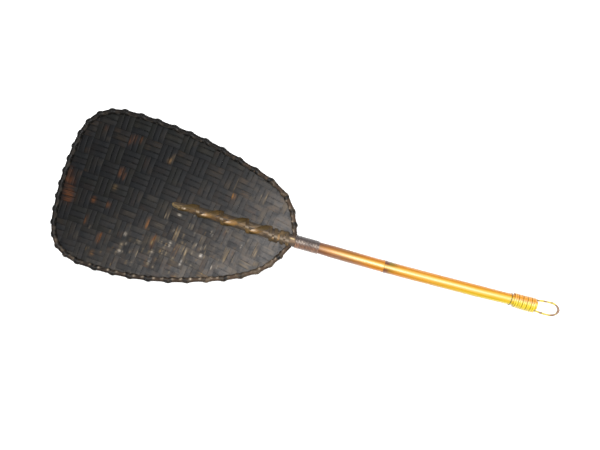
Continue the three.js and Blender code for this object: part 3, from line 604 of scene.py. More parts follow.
def over_first(s, q):
    """1 where the first strip lies below, 0 elsewhere."""
    fs, fq = folded(first_line)
    shape = s.shape
    s, q = s.ravel(), ((q + HALF_ROUND) % (2 * HALF_ROUND) - HALF_ROUND).ravel()
    best = np.full(len(s), 99.0)
    order = np.argsort(fs)
    fs, fq = fs[order], fq[order]
    for i in range(0, len(s), 400):
        a, b = s[i:i + 400], q[i:i + 400]
        lo, hi = np.searchsorted(fs, [a.min() - 4, a.max() + 4])
        ds = a[:, None] - fs[None, lo:hi]
        dq = np.abs(b[:, None] - fq[None, lo:hi])
        dq = np.minimum(dq, 2 * HALF_ROUND - dq)
        if hi > lo:
            best[i:i + 400] = np.sqrt((ds ** 2 + dq ** 2).min(1))
    return (1 - smooth(STRIP_W / 2 + 0.1, STRIP_W / 2 + 1.0, best)).reshape(shape)


def peak(s, q, height, width):
    """Each crossing on the outer edge stands up in a low point."""
    near = np.abs(s[..., None] - LASHING_AT).min(-1)
    around = np.abs((q + HALF_ROUND) % (2 * HALF_ROUND) - HALF_ROUND)
    return height * np.clip(1 - near / width, 0, 1) * (1 - smooth(0.6, 2.4, around))


def first_lift(s, q):
    return 0.03 + peak(s, q, 0.10, 1.9)


def second_lift(s, q):
    return np.minimum(0.03 + 0.38 * over_first(s, q) + peak(s, q, 0.32, 1.9), 0.72)


for name, line, lifts, tone in (("rim_lashing_first", first_line, first_lift, 0.21), ("rim_lashing_second", second_line, second_lift, 0.77)):
    width = STRIP_W * (1 + 0.07 * wobble(np.arange(len(line)) * 0.42, 35, int(tone * 100)))
    v, f, along, across = ribbon(line, width, lifts, on_rim, STRIP_T)
    warm = rim_warmth(v) * 0.75 + 0.22 * wobble(along, 48, int(tone * 50)) * rim_warmth(v)
    make(name + "_cane", v, f, LASHING, [name], {
        "along": along, "across": across, "tone": np.full(len(v), tone), "warm": warm.clip(0, 1), "rub_and_highlight": rim_glint(v),
    })

# ---------------------------------------------------------------- the woven mat

MAT_INSET = 1.5
outline = rim_place(np.arange(0, RIM_LENGTH, 1.0), np.full(len(np.arange(0, RIM_LENGTH, 1.0)), MAT_INSET), 0)[:, :2]


def to_weave(p):
    centre = WEAVE_ORIGIN - WEAVE_RADIUS * np.array([math.sin(WEAVE_TURN), math.cos(WEAVE_TURN)])
    d = p - centre
    return np.stack([(np.arctan2(d[:, 0], d[:, 1]) - WEAVE_TURN) * WEAVE_RADIUS, np.hypot(d[:, 0], d[:, 1]) - WEAVE_RADIUS], -1)


def from_weave(a, b, z):
    turn = WEAVE_TURN + a / WEAVE_RADIUS
    r = WEAVE_RADIUS + b
    return np.stack([
        WEAVE_ORIGIN[0] + r * np.sin(turn) - WEAVE_RADIUS * math.sin(WEAVE_TURN),
        WEAVE_ORIGIN[1] + r * np.cos(turn) - WEAVE_RADIUS * math.cos(WEAVE_TURN),
        z,
    ], -1)


outline_w = to_weave(outline)


def cut(at, column, near):
    """The stretch of the outline's inside along the line where weave coordinate `column` is `at`, the one nearest to `near`."""
    p, q = outline_w, np.roll(outline_w, -1, axis=0)
    a, b = p[:, column] - at, q[:, column] - at
    hit = (a < 0) != (b < 0)
    t = a[hit] / (a[hit] - b[hit])
    other = np.sort(p[hit, 1 - column] + t * (q[hit, 1 - column] - p[hit, 1 - column]))
    spans = [(other[i], other[i + 1]) for i in range(0, len(other) - 1, 2)]
    if not spans:
        return None
    return max(spans, key=lambda s: min(s[1], near + 2) - max(s[0], near - 2))


# Places where the lacquer is worn through to bare bamboo, and painted glints (the palest, least warm ones): [x, y, half
# length, half width, strength, warmth].
WEAR_AND_GLINTS = []


def wear_and_glint_at(px, py, length, width, strength, warmth):
    """A place given in the photograph's frame."""
    c, s = math.cos(math.radians(14.937)), math.sin(math.radians(14.937))
    dx, dy = px - 300, py - 243.2
    WEAR_AND_GLINTS.append([(dx * c + dy * s) * 0.771, (dx * s - dy * c) * 0.771, length, width, strength, warmth])


for place in (
    (130, 139, 4.0, 1.3, 0.32, 0.85), (135, 138, 4.5, 1.3, 0.30, 0.83), (141, 139, 3.5, 1.0, 0.25, 0.85), (121, 171, 4.0, 1.5, 0.50, 0.84),
    (124, 176, 3.0, 1.0, 0.32, 0.8), (169, 161, 2.6, 1.5, 0.55, 0.56), (173, 158, 3.0, 1.0, 0.45, 0.5), (93, 199, 2.4, 1.7, 0.52, 0.85),
    (114, 186.5, 2.4, 2.0, 0.28, 0.48), (108, 204.5, 2.4, 1.5, 0.5, 0.75), (99, 236, 4.5, 1.3, 0.9, 0.75), (91, 252, 2.4, 1.9, 0.5, 0.62),
    (147, 223, 5.0, 0.95, 0.95, 0.74), (151, 222, 4.5, 0.7, 0.6, 0.6), (153, 240, 6.0, 1.4, 0.75, 0.8), (126, 234, 1.4, 0.8, 0.32, 0.2),
    (119, 250, 1.5, 1.2, 0.8, 0.1), (170, 242, 1.2, 0.9, 0.8, 0.1), (233, 195, 2.8, 2.0, 0.75, 0.66), (236, 186, 6.0, 0.9, 0.35, 0.35),
    (265, 199, 5.5, 0.8, 0.3, 0.42), (260, 203, 4.0, 0.8, 0.2, 0.35), (252, 256, 6.0, 0.8, 0.3, 0.42), (257, 248, 4.5, 0.8, 0.25, 0.6),
    (183, 233, 5.0, 0.7, 0.3, 0.6), (187, 236, 5.0, 0.7, 0.25, 0.6), (186, 252, 5.5, 0.8, 0.25, 0.45), (192, 262, 4.0, 0.9, 0.3, 0.3),
    (208, 252, 4.5, 0.9, 0.35, 0.55), (204, 255, 2.0, 1.2, 0.4, 0.3), (199, 256, 3.0, 1.0, 0.5, 0.55), (196, 253, 5.0, 0.9, 0.35, 0.6),
    (101, 119, 2.5, 2.0, 0.22, 0.9), (107, 127, 3.0, 2.0, 0.08, 0.9), (85, 219, 4.0, 1.3, 0.35, 0.8), (84, 172, 2.5, 1.8, 0.3, 0.8),
    (148, 258, 4.0, 1.2, 0.35, 0.6), (225, 232, 4.0, 1.2, 0.3, 0.7), (233, 250, 5.0, 1.2, 0.35, 0.6), (219, 199, 3.0, 1.5, 0.35, 0.8),
    # Small pale strokes and points, most of them in the lower half: painted glints, with some bare strokes among them.
    (124.4, 233.3, 1.6, 0.7, 0.6, 0.12), (139, 241.7, 1.2, 1.6, 0.55, 0.25), (151.7, 242.2, 1.5, 0.6, 0.9, 0.12), (151.7, 250.6, 1.3, 1.0, 0.7, 0.2),
    (136.7, 252.2, 3.0, 0.7, 0.6, 0.3), (147.8, 262.2, 1.8, 1.0, 0.55, 0.05), (168.9, 245, 1.2, 0.7, 0.8, 0.1), (171.7, 257.8, 1.3, 1.3, 0.6, 0.25),
    (180, 262.2, 2.2, 0.7, 0.95, 0.05), (180.6, 242.8, 3.5, 0.7, 0.7, 0.42), (185.6, 250, 4.0, 0.6, 0.9, 0.25), (183, 249, 3.5, 0.5, 0.7, 0.4),
    (200.6, 255, 1.4, 0.9, 1.0, 0.0), (206.1, 251.1, 3.8, 0.6, 0.85, 0.22), (210, 251.1, 2.6, 0.6, 0.75, 0.2), (201.1, 247.8, 1.8, 0.7, 0.5, 0.15),
    (210.6, 266.7, 1.9, 0.6, 0.8, 0.05), (216.1, 266.7, 1.9, 0.6, 0.65, 0.05), (158.9, 241.1, 1.2, 0.8, 0.45, 0.2), (164.4, 216.7, 3.2, 0.5, 0.45, 0.25),
    (167.2, 216.7, 3.0, 0.5, 0.4, 0.25), (178.9, 214.4, 1.0, 1.4, 0.6, 0.05), (226.7, 231.1, 1.0, 0.8, 0.5, 0.05), (232.2, 258.9, 3.2, 0.5, 0.4, 0.3),
    (174, 235, 4.0, 0.6, 0.55, 0.42), (177.5, 234, 4.0, 0.6, 0.6, 0.4), (121, 244.4, 1.8, 1.2, 0.5, 0.25), (125.6, 242.8, 1.4, 0.8, 0.5, 0.2),
    (254, 249, 4.8, 0.5, 0.45, 0.35), (255, 253, 3.0, 0.5, 0.55, 0.2), (248, 259, 3.4, 0.5, 0.45, 0.28), (264.5, 199, 3.6, 0.5, 0.6, 0.3),
    (260, 198, 3.6, 0.5, 0.5, 0.3), (274, 204, 3.4, 0.9, 0.5, 0.62), (232, 194, 2.0, 1.2, 0.6, 0.62), (176, 230, 4.0, 0.6, 0.4, 0.5),
    (193, 246, 3.0, 0.6, 0.45, 0.35), (160, 252, 2.6, 0.7, 0.45, 0.3), (190, 265, 2.4, 0.7, 0.4, 0.2), (222, 262, 3.0, 0.6, 0.4, 0.25),
    (131, 262, 2.4, 0.9, 0.35, 0.3), (242, 243, 2.6, 1.0, 0.3, 0.7), (157, 228, 3.0, 0.6, 0.35, 0.5), (213, 242, 3.6, 0.6, 0.4, 0.35),
):
    wear_and_glint_at(*place)
# Fine flecks of painted glint, thickest below the tongue.
_fleck = np.random.default_rng(417)
for _ in range(120):
    px, py = _fleck.normal(172, 34), _fleck.normal(249, 13)
    wear_and_glint_at(px, py, _fleck.uniform(0.9, 2.3), _fleck.uniform(0.35, 0.55), _fleck.uniform(0.15, 0.62), _fleck.uniform(0.05, 0.62))
RED_PATCH = []
for px, py, radius, strength in ((69, 169, 3.0, 0.26), (69, 180, 3.6, 0.44), (68.5, 190, 3.7, 0.48), (67.5, 198, 3.4, 0.40), (72.5, 196, 2.4, 0.24)):
    wear_and_glint_at(px, py, radius, radius, strength, 0.95)
    RED_PATCH.append(WEAR_AND_GLINTS.pop())

SECTION = np.array([
    [-1.0, 0.0], [-0.97, 0.065], [-0.86, 0.125], [-0.48, 0.165], [0.0, 0.175], [0.48, 0.165], [0.86, 0.125], [0.97, 0.065],
    [1.0, 0.0], [0.97, -0.055], [0.86, -0.10], [0.0, -0.12], [-0.86, -0.10], [-0.97, -0.055],
])
LIFT = 0.27
STEP = 0.8


def splint(column, group, index, middle, half, seed):
    """One splint. column 0: lengthwise, its a runs and b stays; column 1: crosswise."""
    r = np.random.default_rng(seed)
    pitch, phase = (CROSSWISE_PITCH, CROSSWISE_PHASE) if column == 0 else (LENGTHWISE_PITCH, LENGTHWISE_PHASE)
    reach = cut(middle, 1 - column, 0.0)
    if reach is None:
        reach = cut(middle + half * 0.8, 1 - column, 0.0) or cut(middle - half * 0.8, 1 - column, 0.0)
    if reach is None:
        return None
    lo, hi = reach[0] - 2 * half, reach[1] + 2 * half
    t = np.arange(lo, hi, STEP)
    # Which crossings it passes over: +1 on top.
    number = (t / pitch) - phase
    k = np.floor(number + 0.5)
    into = (number + 0.5 - k) * pitch  # distance from the last boundary
    top = lambda n: np.where((np.abs(n + group) % 2) < 0.5, 1.0, -1.0) * (1 if column == 0 else -1)
    here = top(k)
    before, after = top(k - 1), top(k + 1)
    bend = 3.0
    level = here.copy()
    near_start = into < bend
    level[near_start] = (0.5 * (before + here) + 0.5 * (here - before) * np.sin(0.5 * math.pi * into / bend))[near_start]
    near_end = pitch - into < bend
    level[near_end] = (0.5 * (after + here) + 0.5 * (here - after) * np.sin(0.5 * math.pi * (pitch - into) / bend))[near_end]
    arch = np.sin(math.pi * into / pitch)
    z = LIFT * (0.62 * level + 0.38 * here * arch)
    # The outer splints of a group lean towards the dip beside them, where they lie on top.
    lean = -index * 0.030 * here * arch ** 2 + r.normal(0, 0.010) * arch ** 2
    b = middle + 0.05 * wobble(t, 55, seed + 1)
    # Neighbours touch where they dive and part a little along the backs of the blocks.
    w = half * (1 + 0.008 * wobble(t, 70, seed + 2)) - 0.19 * arch ** 1.5 * (here > 0)
    rings, keep = [], []
    for i, at in enumerate(t):
        span = cut(at, column, b[i])
        if span is None:
            continue
        p, q = max(b[i] - w[i], span[0]), min(b[i] + w[i], span[1])
        if q - p < 0.35:
            continue
        c, h = (p + q) / 2, (q - p) / 2
        rings.append(np.stack([
            np.full(len(SECTION), at),
            c + h * SECTION[:, 0],
            z[i] + SECTION[:, 1] + (c - b[i] + h * SECTION[:, 0]) * lean[i],
        ], -1))
        keep.append(i)
    if len(rings) < 4:
        return None
    keep = np.array(keep)
    # One unbroken run only.
    breaks = np.where(np.diff(keep) > 1)[0]
    if len(breaks):
        runs = np.split(np.arange(len(keep)), breaks + 1)
        run = max(runs, key=len)
        rings, keep = [rings[q] for q in run], keep[run]
        if len(rings) < 4:
            return None
    rings = np.array(rings)
    a, b2, zz = rings[..., 0], rings[..., 1], rings[..., 2]
    xyz = from_weave(a, b2, zz) if column == 0 else from_weave(b2, a, zz)
    v, f = sweep(xyz)
    m = len(SECTION)
    on_top = np.repeat(level[keep], m) * 0.5 + 0.5
    along, across = a.ravel(), (b2 - b[keep][:, None]).ravel()
    wear_and_glint, warm = np.zeros(len(v)), np.full(len(v), 0.6)
    total = np.zeros(len(v))
    direction = np.array([math.sin(WEAVE_TURN), math.cos(WEAVE_TURN)])
    for x, y, length, width, strength, warmth in WEAR_AND_GLINTS:
        if column == 1 or length < 2.5:
            dx, dy = v[:, 0] - x, v[:, 1] - y
            e = (dx * direction[0] + dy * direction[1]) / length
            g = (dx * direction[1] - dy * direction[0]) / width
            value = strength * np.exp(-(np.abs(e) ** 3) - g * g)
            wear_and_glint += value
            total += value * warmth
    for x, y, radius, _, strength, warmth in RED_PATCH:
        value = strength * np.exp(-((v[:, 0] - x) ** 2 + (v[:, 1] - y) ** 2) / (radius * radius))
        wear_and_glint += value
        total += value * warmth
    # Slight wear on the backs of the blocks, more of it towards the neck and the lower edge.
    dusty = smooth(-25, 100, (v[:, 0] + 100) * 0.6 - v[:, 1] * 0.8)
    general = r.uniform(0, 1) ** 2.2 * (0.04 + 0.55 * dusty)
    patchy = np.clip(0.15 + 1.3 * wobble(along, 20, seed + 3), 0, 1.3)
    value = general * patchy
    wear_and_glint += value
    total += value * r.uniform(0.25, 0.75)
    wear_ok = wear_and_glint > 1e-4
    warm[wear_ok] = (total / np.maximum(wear_and_glint, 1e-9))[wear_ok]
    wear_and_glint *= np.where(np.tile(SECTION[:, 1], len(rings)) > -0.05, 1, 0.3) * on_top ** 2
    return v, f, along, across, wear_and_glint.clip(0, 1), warm.clip(0, 1)


def weave_group(node, column, group):
    pitch = LENGTHWISE_PITCH if column == 0 else CROSSWISE_PITCH
    phase = LENGTHWISE_PHASE if column == 0 else CROSSWISE_PHASE
    inner = (pitch - 0.06) / 3
    parts, names = [], ("along", "across", "wear_and_glint", "warm", "tone", "hue", "dust_and_glare")
    values = {n: [] for n in names}
    for index in (-1, 0, 1):
        seed = 1000 + 97 * (group + 20) + 31 * (index + 2) + 5000 * column
        r = np.random.default_rng(seed + 9)
        middle = (group + phase) * pitch + index * inner + r.normal(0, 0.02)
        half = (inner - 0.03) / 2
        made = splint(column, group, index, middle, half, seed)
        if made is None:
            continue
        v, f, along, across, wear_and_glint, warm = made
        parts.append((v, f))
        # The lacquer is blackest at the far upper end, and rubbed and dusty towards the neck and the lower edge, where
        # dust_and_glare also holds a painted glare of the light.
        toward = (v[:, 0] + 100) * 0.6 - v[:, 1] * 0.8
        dust_and_glare = (smooth(-60, 105, toward) ** 1.6 * r.uniform(0.7, 1.25) + 0.75 * smooth(-75, 0, v[:, 0]) ** 1.5 * (1 - 0.32 * smooth(0, 30, v[:, 1])) * r.uniform(0.8, 1.15)).clip(0, 1)
        for n, q in zip(names, (along, across, wear_and_glint, warm, np.full(len(v), r.uniform(0, 1)), np.full(len(v), r.beta(1.4, 1.8)), dust_and_glare)):
            values[n].append(q)
    if not parts:
        return False
    v, f = join(parts)
    make(node + "_split_bamboo", v, f, SPLINT, [node], {n: np.concatenate(q) for n, q in values.items()})
    return True


def group_of(node, column):
    """The group's number in the weave, from where the construction has it."""
    lo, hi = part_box(node)
    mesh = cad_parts[node].data
    co = np.array([v.co for v in mesh.vertices], float) * 1000 - SHIFT
    w = to_weave(co[:, :2])
    pitch, phase = (LENGTHWISE_PITCH, LENGTHWISE_PHASE) if column == 0 else (CROSSWISE_PITCH, CROSSWISE_PHASE)
    # The corners of a whole group lie half a group either side of its middle, so the middle of the range finds it.
    side = w[:, 1 - column]
    middles = (np.arange(-20, 21) + phase) * pitch
    score = [np.sum(np.abs(np.abs(side - m) - (pitch - 0.9) / 2) < 0.02) for m in middles]
    return int(np.argmax(score)) - 20


for node in sorted(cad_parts):
    if node.startswith("lengthwise_splints"):
        weave_group(node, 0, group_of(node, 0))
    elif node.startswith("crosswise_splints"):
        weave_group(node, 1, group_of(node, 1))

# ---------------------------------------------------------------- handle with its forked end

def rod_radius(x):
    return ROD_R_NECK + (ROD_R_BUTT - ROD_R_NECK) * (np.asarray(x, float) + 4) / (ROD_END + 4)


def prong_row(x):
    return [np.interp(x, PRONG_STATIONS[:, 0], PRONG_STATIONS[:, c]) for c in (1, 2, 3)]


SIDES = 64
xs = np.concatenate([
    [-103.3, -103.1, -102.8, -102.4, -101.8, -101.0], np.arange(-100, -4, 1.5), np.arange(-4, NODE_X - 4, 2.0),
    np.arange(NODE_X - 4, NODE_X + 5, 0.25), np.arange(NODE_X + 5, ROD_END - 1, 2.0),
    [ROD_END - 0.6, ROD_END - 0.3, ROD_END - 0.12, ROD_END],
])
angle = 2 * math.pi * (np.arange(SIDES) + 0.5) / SIDES
w, h, y0 = prong_row(xs)
inside = xs > -4
radius = rod_radius(xs)
beyond = xs - NODE_X
swell = (0.20 * np.exp(-((beyond + 0.75) / 0.55) ** 2) + 0.22 * np.exp(-((beyond - 0.85) / 0.75) ** 2)
         - 0.10 * np.exp(-(beyond / 0.28) ** 2) + 0.09 * np.exp(-((beyond - 2.0) / 3.0) ** 2))
radius = radius + np.where(inside, swell, 0)
# The culm is a little stouter between its two bindings.
radius = radius + 0.29 * smooth(15.5, 27, xs) * (1 - smooth(138, 164, xs))
radius = radius - np.interp(xs, [ROD_END - 0.6, ROD_END - 0.3, ROD_END - 0.12, ROD_END], [0, 0.06, 0.18, 0.35])
w = np.where(inside, radius, w)
h = np.where(inside, radius, h)
y0 = np.where(inside, 0, y0)
# A culm is never quite round: it has a few very shallow flutes along it.
flute = (0.028 * np.sin(3 * angle[None, :] + 0.6 + xs[:, None] * 0.004) + 0.014 * np.sin(7 * angle[None, :] + 1.9 + xs[:, None] * 0.01)
         + 0.008 * wobble(xs, 40, 3)[:, None]) * smooth(-100, -60, xs)[:, None]
flute = np.minimum(flute, 0.02)
rings = np.stack([
    np.broadcast_to(xs[:, None], (len(xs), SIDES)),
    y0[:, None] + (w[:, None] + flute) * np.cos(angle),
    (h[:, None] + flute) * np.sin(angle),
], -1)
v, f = sweep(rings)
rod = make("handle_culm", v, f, ROD, ["handle_rod_with_forked_end"])  # straight, for the cuts


def cutter(name, lo, hi, sides=None, radius=None):
    if sides:
        a = 2 * math.pi * np.arange(sides) / sides
        rings = np.stack([np.stack([np.full(sides, x), radius * np.cos(a), radius * np.sin(a)], -1) for x in (lo, hi)])
        v, f = sweep(rings)
    else:
        (x0, y0, z0), (x1, y1, z1) = lo, hi
        ring = lambda x: np.array([[x, y0, z0], [x, y1, z0], [x, y1, z1], [x, y0, z1]], float)
        v, f = sweep(np.stack([ring(x0), ring(x1)]))
    mesh = bpy.data.meshes.new(name)
    mesh.from_pydata(((v + SHIFT) * 0.001).tolist(), [], f)
    bm = bmesh.new()
    bm.from_mesh(mesh)
    bmesh.ops.recalc_face_normals(bm, faces=bm.faces)
    bm.to_mesh(mesh)
    bm.free()
    o = bpy.data.objects.new(name, mesh)
    bpy.context.scene.collection.objects.link(o)
    return o


cutters = [
    cutter("cut_slot", (-110, -9, -0.72), (-4.5, 12, 0.72)),
    cutter("cut_bore", NODE_X + 3, ROD_END + 1, 32, 1.9),
    cutter("cut_upper_seat", (SEAT_X, SEAT_Y, -6), (ROD_END + 1, 6, 6)),
    cutter("cut_lower_seat", (SEAT_X, -6, -6), (ROD_END + 1, -SEAT_Y, 6)),
]
for o in cutters:
    mod = rod.modifiers.new(o.name, "BOOLEAN")
    mod.operation, mod.solver, mod.object = "DIFFERENCE", "EXACT", o
bpy.context.view_layer.update()
made = bpy.data.meshes.new_from_object(rod.evaluated_get(bpy.context.evaluated_depsgraph_get()))
rod.modifiers.clear()
rod.data = made
for o in cutters:
    bpy.data.objects.remove(o)
co = np.zeros(3 * len(rod.data.vertices))
rod.data.vertices.foreach_get("co", co)
co = co.reshape(-1, 3) * 1000 - SHIFT
middle = np.interp(co[:, 0], PRONG_STATIONS[:, 0], PRONG_STATIONS[:, 3])
for key, values in (("axial", co[:, 0]), ("side", co[:, 1] - middle)):
    a = rod.data.attributes.new(key, "FLOAT", "POINT")
    a.data.foreach_set("value", np.asarray(values, np.float32))
rod.data.vertices.foreach_set("co", ((bowed(co) + SHIFT) * 0.001).ravel())
rod.data.polygons.foreach_set("use_smooth", [True] * len(rod.data.polygons))
rod.data.set_sharp_from_angle(angle=math.radians(32))
rod.data.update()

# ---------------------------------------------------------------- the tongue's lashing

def on_prong(x, q, lift):
    """q is the arc length round the prong from its upper edge (0) over its front crest, in the prong's own round."""
    w, h, y0 = prong_row(x)
    mean = np.sqrt((w * w + h * h) / 2)
    a = q / mean
    return np.stack([x, y0 + (w + lift) * np.cos(a), (h + lift) * np.sin(a)], -1)


def prong_round(x):
    w, h, _ = prong_row(x)
    return math.sqrt((w * w + h * h) / 2)


def wound(passes, falling):
    """(x, q) knots of a strip that winds round the prong. falling: from the upper edge down to the lower one."""
    knots = []
    turn = 0.0
    for k, (a, b) in enumerate(passes):
        ra, rb = prong_round(a), prong_round(b)
        if falling:
            knots += [(a, (turn + 0.04) * ra), (b, (turn + math.pi - 0.04) * rb)]
            knots += [(b, (turn + math.pi + 0.35) * rb)]
        else:
            knots += [(a, (turn + math.pi - 0.10) * ra), (b, (turn + 0.10) * rb), (b, (turn - 0.35) * rb)]
        if k + 1 < len(passes):
            c = passes[k + 1][0]
            rc = prong_round(c)
            if falling:
                knots += [(c, (turn + 2 * math.pi - 0.35) * rc)]
                turn += 2 * math.pi
            else:
                knots += [(c, (turn - math.pi + 0.35) * rc)]
                turn -= 2 * math.pi
    return knots


def prong_strip(passes, falling, step):
    """Like path_through, but in (x, angle), so that a whole round stays a whole round as the prong grows thicker."""
    knots = np.array(wound(passes, falling), float)
    angles = np.array([q / prong_round(x) for x, q in knots])
    d = np.concatenate([[0], np.cumsum(np.hypot(np.diff(knots[:, 0]), np.diff(angles) * 3.6))])
    fine = np.arange(0, d[-1], step)
    line = np.stack([np.interp(fine, d, knots[:, 0]), np.interp(fine, d, angles)], -1)
    kernel = np.hanning(11)
    kernel /= kernel.sum()
    padded = np.vstack([np.repeat(line[:1], 5, 0), line, np.repeat(line[-1:], 5, 0)])
    return np.stack([np.convolve(padded[:, c], kernel, "valid") for c in (0, 1)], -1)


def angular_place(x, a, lift):
    w, h, y0 = prong_row(x)
    return np.stack([x, y0 + (w + lift) * np.cos(a), (h + lift) * np.sin(a)], -1)


def prong_ribbon(line, widths, lifts, thick):
    """As ribbon(), with the second coordinate an angle. The offset across is worked out in the unrolled surface."""
    rho = np.array([prong_round(x) for x in line[:, 0]])
    flat = np.stack([np.gradient(line[:, 0]), np.gradient(line[:, 1]) * rho], -1)
    flat /= np.linalg.norm(flat, axis=1, keepdims=True)
    side = np.stack([-flat[:, 1], flat[:, 0] / rho], -1)
    f = np.array((-1, -0.86, -0.45, 0, 0.45, 0.86, 1))
    crown = 1 - 0.5 * np.abs(f) ** 3
    at = line[:, None, :] + side[:, None, :] * (f[None, :, None] * widths[:, None, None] / 2)
    x = np.clip(at[..., 0], -103.0, -4.6)
    low = lifts(x, at[..., 1])
    outer = angular_place(x, at[..., 1], low + thick * crown)
    inner = angular_place(x, at[..., 1], low + thick * (1 - crown) * 0.2)
    rings = np.concatenate([outer, inner[:, ::-1]], 1)
    v, faces = sweep(rings)
    d = np.concatenate([[0], np.cumsum(np.hypot(np.diff(line[:, 0]), np.diff(line[:, 1]) * rho[1:]))])
    across = np.concatenate([f, f[::-1]])[None, :] * widths[:, None] / 2
    return v, faces, np.repeat(d, rings.shape[1]), across.ravel()


gold_line = prong_strip(GOLD_PASSES, False, 0.4)
dark_line = prong_strip(DARK_PASSES, True, 0.4)


def over_gold(x, a):
    shape = x.shape
    x, a = x.ravel(), (a.ravel() + math.pi) % (2 * math.pi) - math.pi
    ga = (gold_line[:, 1] + math.pi) % (2 * math.pi) - math.pi
    out = np.full(len(x), 99.0)
    for i in range(0, len(x), 300):
        rho = 3.6
        da = np.abs(a[i:i + 300, None] - ga[None])
        da = np.minimum(da, 2 * math.pi - da) * rho
        out[i:i + 300] = np.sqrt(((x[i:i + 300, None] - gold_line[None, :, 0]) ** 2 + da ** 2).min(1))
    return (1 - smooth(1.7, 2.7, out)).reshape(shape)


def edge_stand(a):
    """The strips bulge where they turn over the prong's two edges, more so at the upper one."""
    fold = lambda centre, width: np.exp(-(((a - centre + math.pi) % (2 * math.pi) - math.pi) / width) ** 2)
    return 0.95 * fold(0.0, 0.42) + 0.45 * fold(math.pi, 0.42)


n = len(gold_line)
gold_w = 4.0 * (1 + 0.06 * wobble(np.arange(n) * 0.4, 30, 71)) * smooth(-1, 14, np.arange(n)) * smooth(n, n - 14, np.arange(n)) + 0.2
v, f, along, across = prong_ribbon(gold_line, gold_w, lambda x, a: 0.04 + edge_stand(a), 0.38)
off = (v[:, 1] - np.interp(v[:, 0], PRONG_STATIONS[:, 0], PRONG_STATIONS[:, 3])) / np.interp(v[:, 0], PRONG_STATIONS[:, 0], PRONG_STATIONS[:, 1])
# Each pass has a painted highlight near its start at the lower edge, and the strip dulls towards the tip.
warm = (0.25 + 0.55 * smooth(0.65, -0.45, off) * smooth(-104, -78, v[:, 0]) + 0.12 * wobble(along, 22, 5)) * smooth(-1.02, -0.55, off)
rub_and_highlight = np.zeros(len(v))
for start, length in ((-93.5, 1.4), (-77.8, 2.3), (-59.6, 3.2), (-38.0, 2.4), (-20.0, 2.0)):
    rub_and_highlight = np.maximum(rub_and_highlight, np.exp(-((v[:, 0] - start) / length) ** 2 - ((off + 0.36 - 0.035 * (v[:, 0] - start)) / 0.14) ** 2) * (v[:, 2] > 0))
make("tongue_lashing_gold_cane", v, f, GOLD, ["tongue_lashing_gold"], {
    "along": along, "across": across, "tone": np.full(len(v), 0.4), "warm": warm.clip(0, 1), "rub_and_highlight": rub_and_highlight * 0.78 + 0.05 * smooth(-34, -16, v[:, 0]),
})
n = len(dark_line)
dark_w = 2.5 * (1 + 0.08 * wobble(np.arange(n) * 0.4, 26, 73)) * smooth(-1, 12, np.arange(n)) * smooth(n, n - 12, np.arange(n)) + 0.2
v, f, along, across = prong_ribbon(dark_line, dark_w, lambda x, a: 0.04 + 0.42 * over_gold(x, a) + edge_stand(a), 0.36)
off = (v[:, 1] - np.interp(v[:, 0], PRONG_STATIONS[:, 0], PRONG_STATIONS[:, 3])) / np.interp(v[:, 0], PRONG_STATIONS[:, 0], PRONG_STATIONS[:, 1])
# Each dark pass has a painted highlight a little below its crest.
make("tongue_lashing_dark_cane", v, f, DARK, ["tongue_lashing_dark"], {
    "along": along, "across": across, "tone": np.full(len(v), 0.8), "warm": (0.35 + 0.3 * wobble(along, 15, 8)).clip(0, 1),
    "rub_and_highlight": 0.27 * np.exp(-((off + 0.16) / 0.17) ** 2) * (v[:, 2] > 0) + 0.06 * smooth(-34, -16, v[:, 0]),
})

# ---------------------------------------------------------------- bindings on the handle

def coil(x0, x1, turns, radius, half_width, half_height, steps, seed, flat=False, hand=1, start=math.pi / 2):
    """A strand wound on the handle between x0 and x1. Its two ends dive under their neighbours."""
    n = int(turns * steps) + 1
    t = np.linspace(0, turns, n)
    a = 2 * math.pi * t * hand + start
    pitch = (x1 - x0 - 2 * half_width) / turns
    jitter = 0.05 * pitch * wobble(t, 2.3, seed)
    x = x0 + half_width + t * pitch + jitter * smooth(0, 1, t) * smooth(turns, turns - 1, t)
    dive = 0.25 * (1 - smooth(0, 0.25, t)) + 0.25 * (1 - smooth(turns, turns - 0.25, t))
    r = radius + 0.03 * wobble(t, 1.9, seed + 1) * (0.5 if flat else 1) - dive * half_height
    m = 12
    b = 2 * math.pi * np.arange(m) / m
    if flat:
        sx = np.sign(np.cos(b)) * np.abs(np.cos(b)) ** 0.6
        sr = np.sign(np.sin(b)) * np.abs(np.sin(b)) ** 0.9
    else:
        sx, sr = np.cos(b), np.sin(b)
    taper = np.minimum(1, 0.35 + 3 * np.minimum(t, turns - t))
    xx = x[:, None] + half_width * taper[:, None] * sx
    rr = r[:, None] + half_height * sr
    rings = np.stack([xx, rr * np.cos(a)[:, None], rr * np.sin(a)[:, None]], -1)
    v, f = sweep(rings)
    along = np.repeat(2 * math.pi * radius * t, m)
    across = np.tile(half_width * sx, n) if flat else np.tile(b * half_height, n)
    return v, f, along, across


v, f, along, across = coil(BINDING_X[0] - 1.6, BINDING_X[1], 17.2, 4.80, 0.55, 0.33, 30, 41, hand=-1)
warm = smooth(1.0, -3.0, v[:, 1]) * 0.85
stretch = 0.30 + 0.70 * np.exp(-((v[:, 0] - 0.5) / 3.2) ** 2) + 0.60 * np.exp(-((v[:, 0] - 12.0) / 2.4) ** 2)
# Painted shade in the grooves between the turns.
painted_groove_shade = smooth(0.55, 0.92, np.abs(np.cos(across / 0.33)))
every_other = 0.22 + 0.78 * smooth(-0.35, 0.35, np.cos(math.pi * (along / (2 * math.pi * 4.80) + 0.5)))
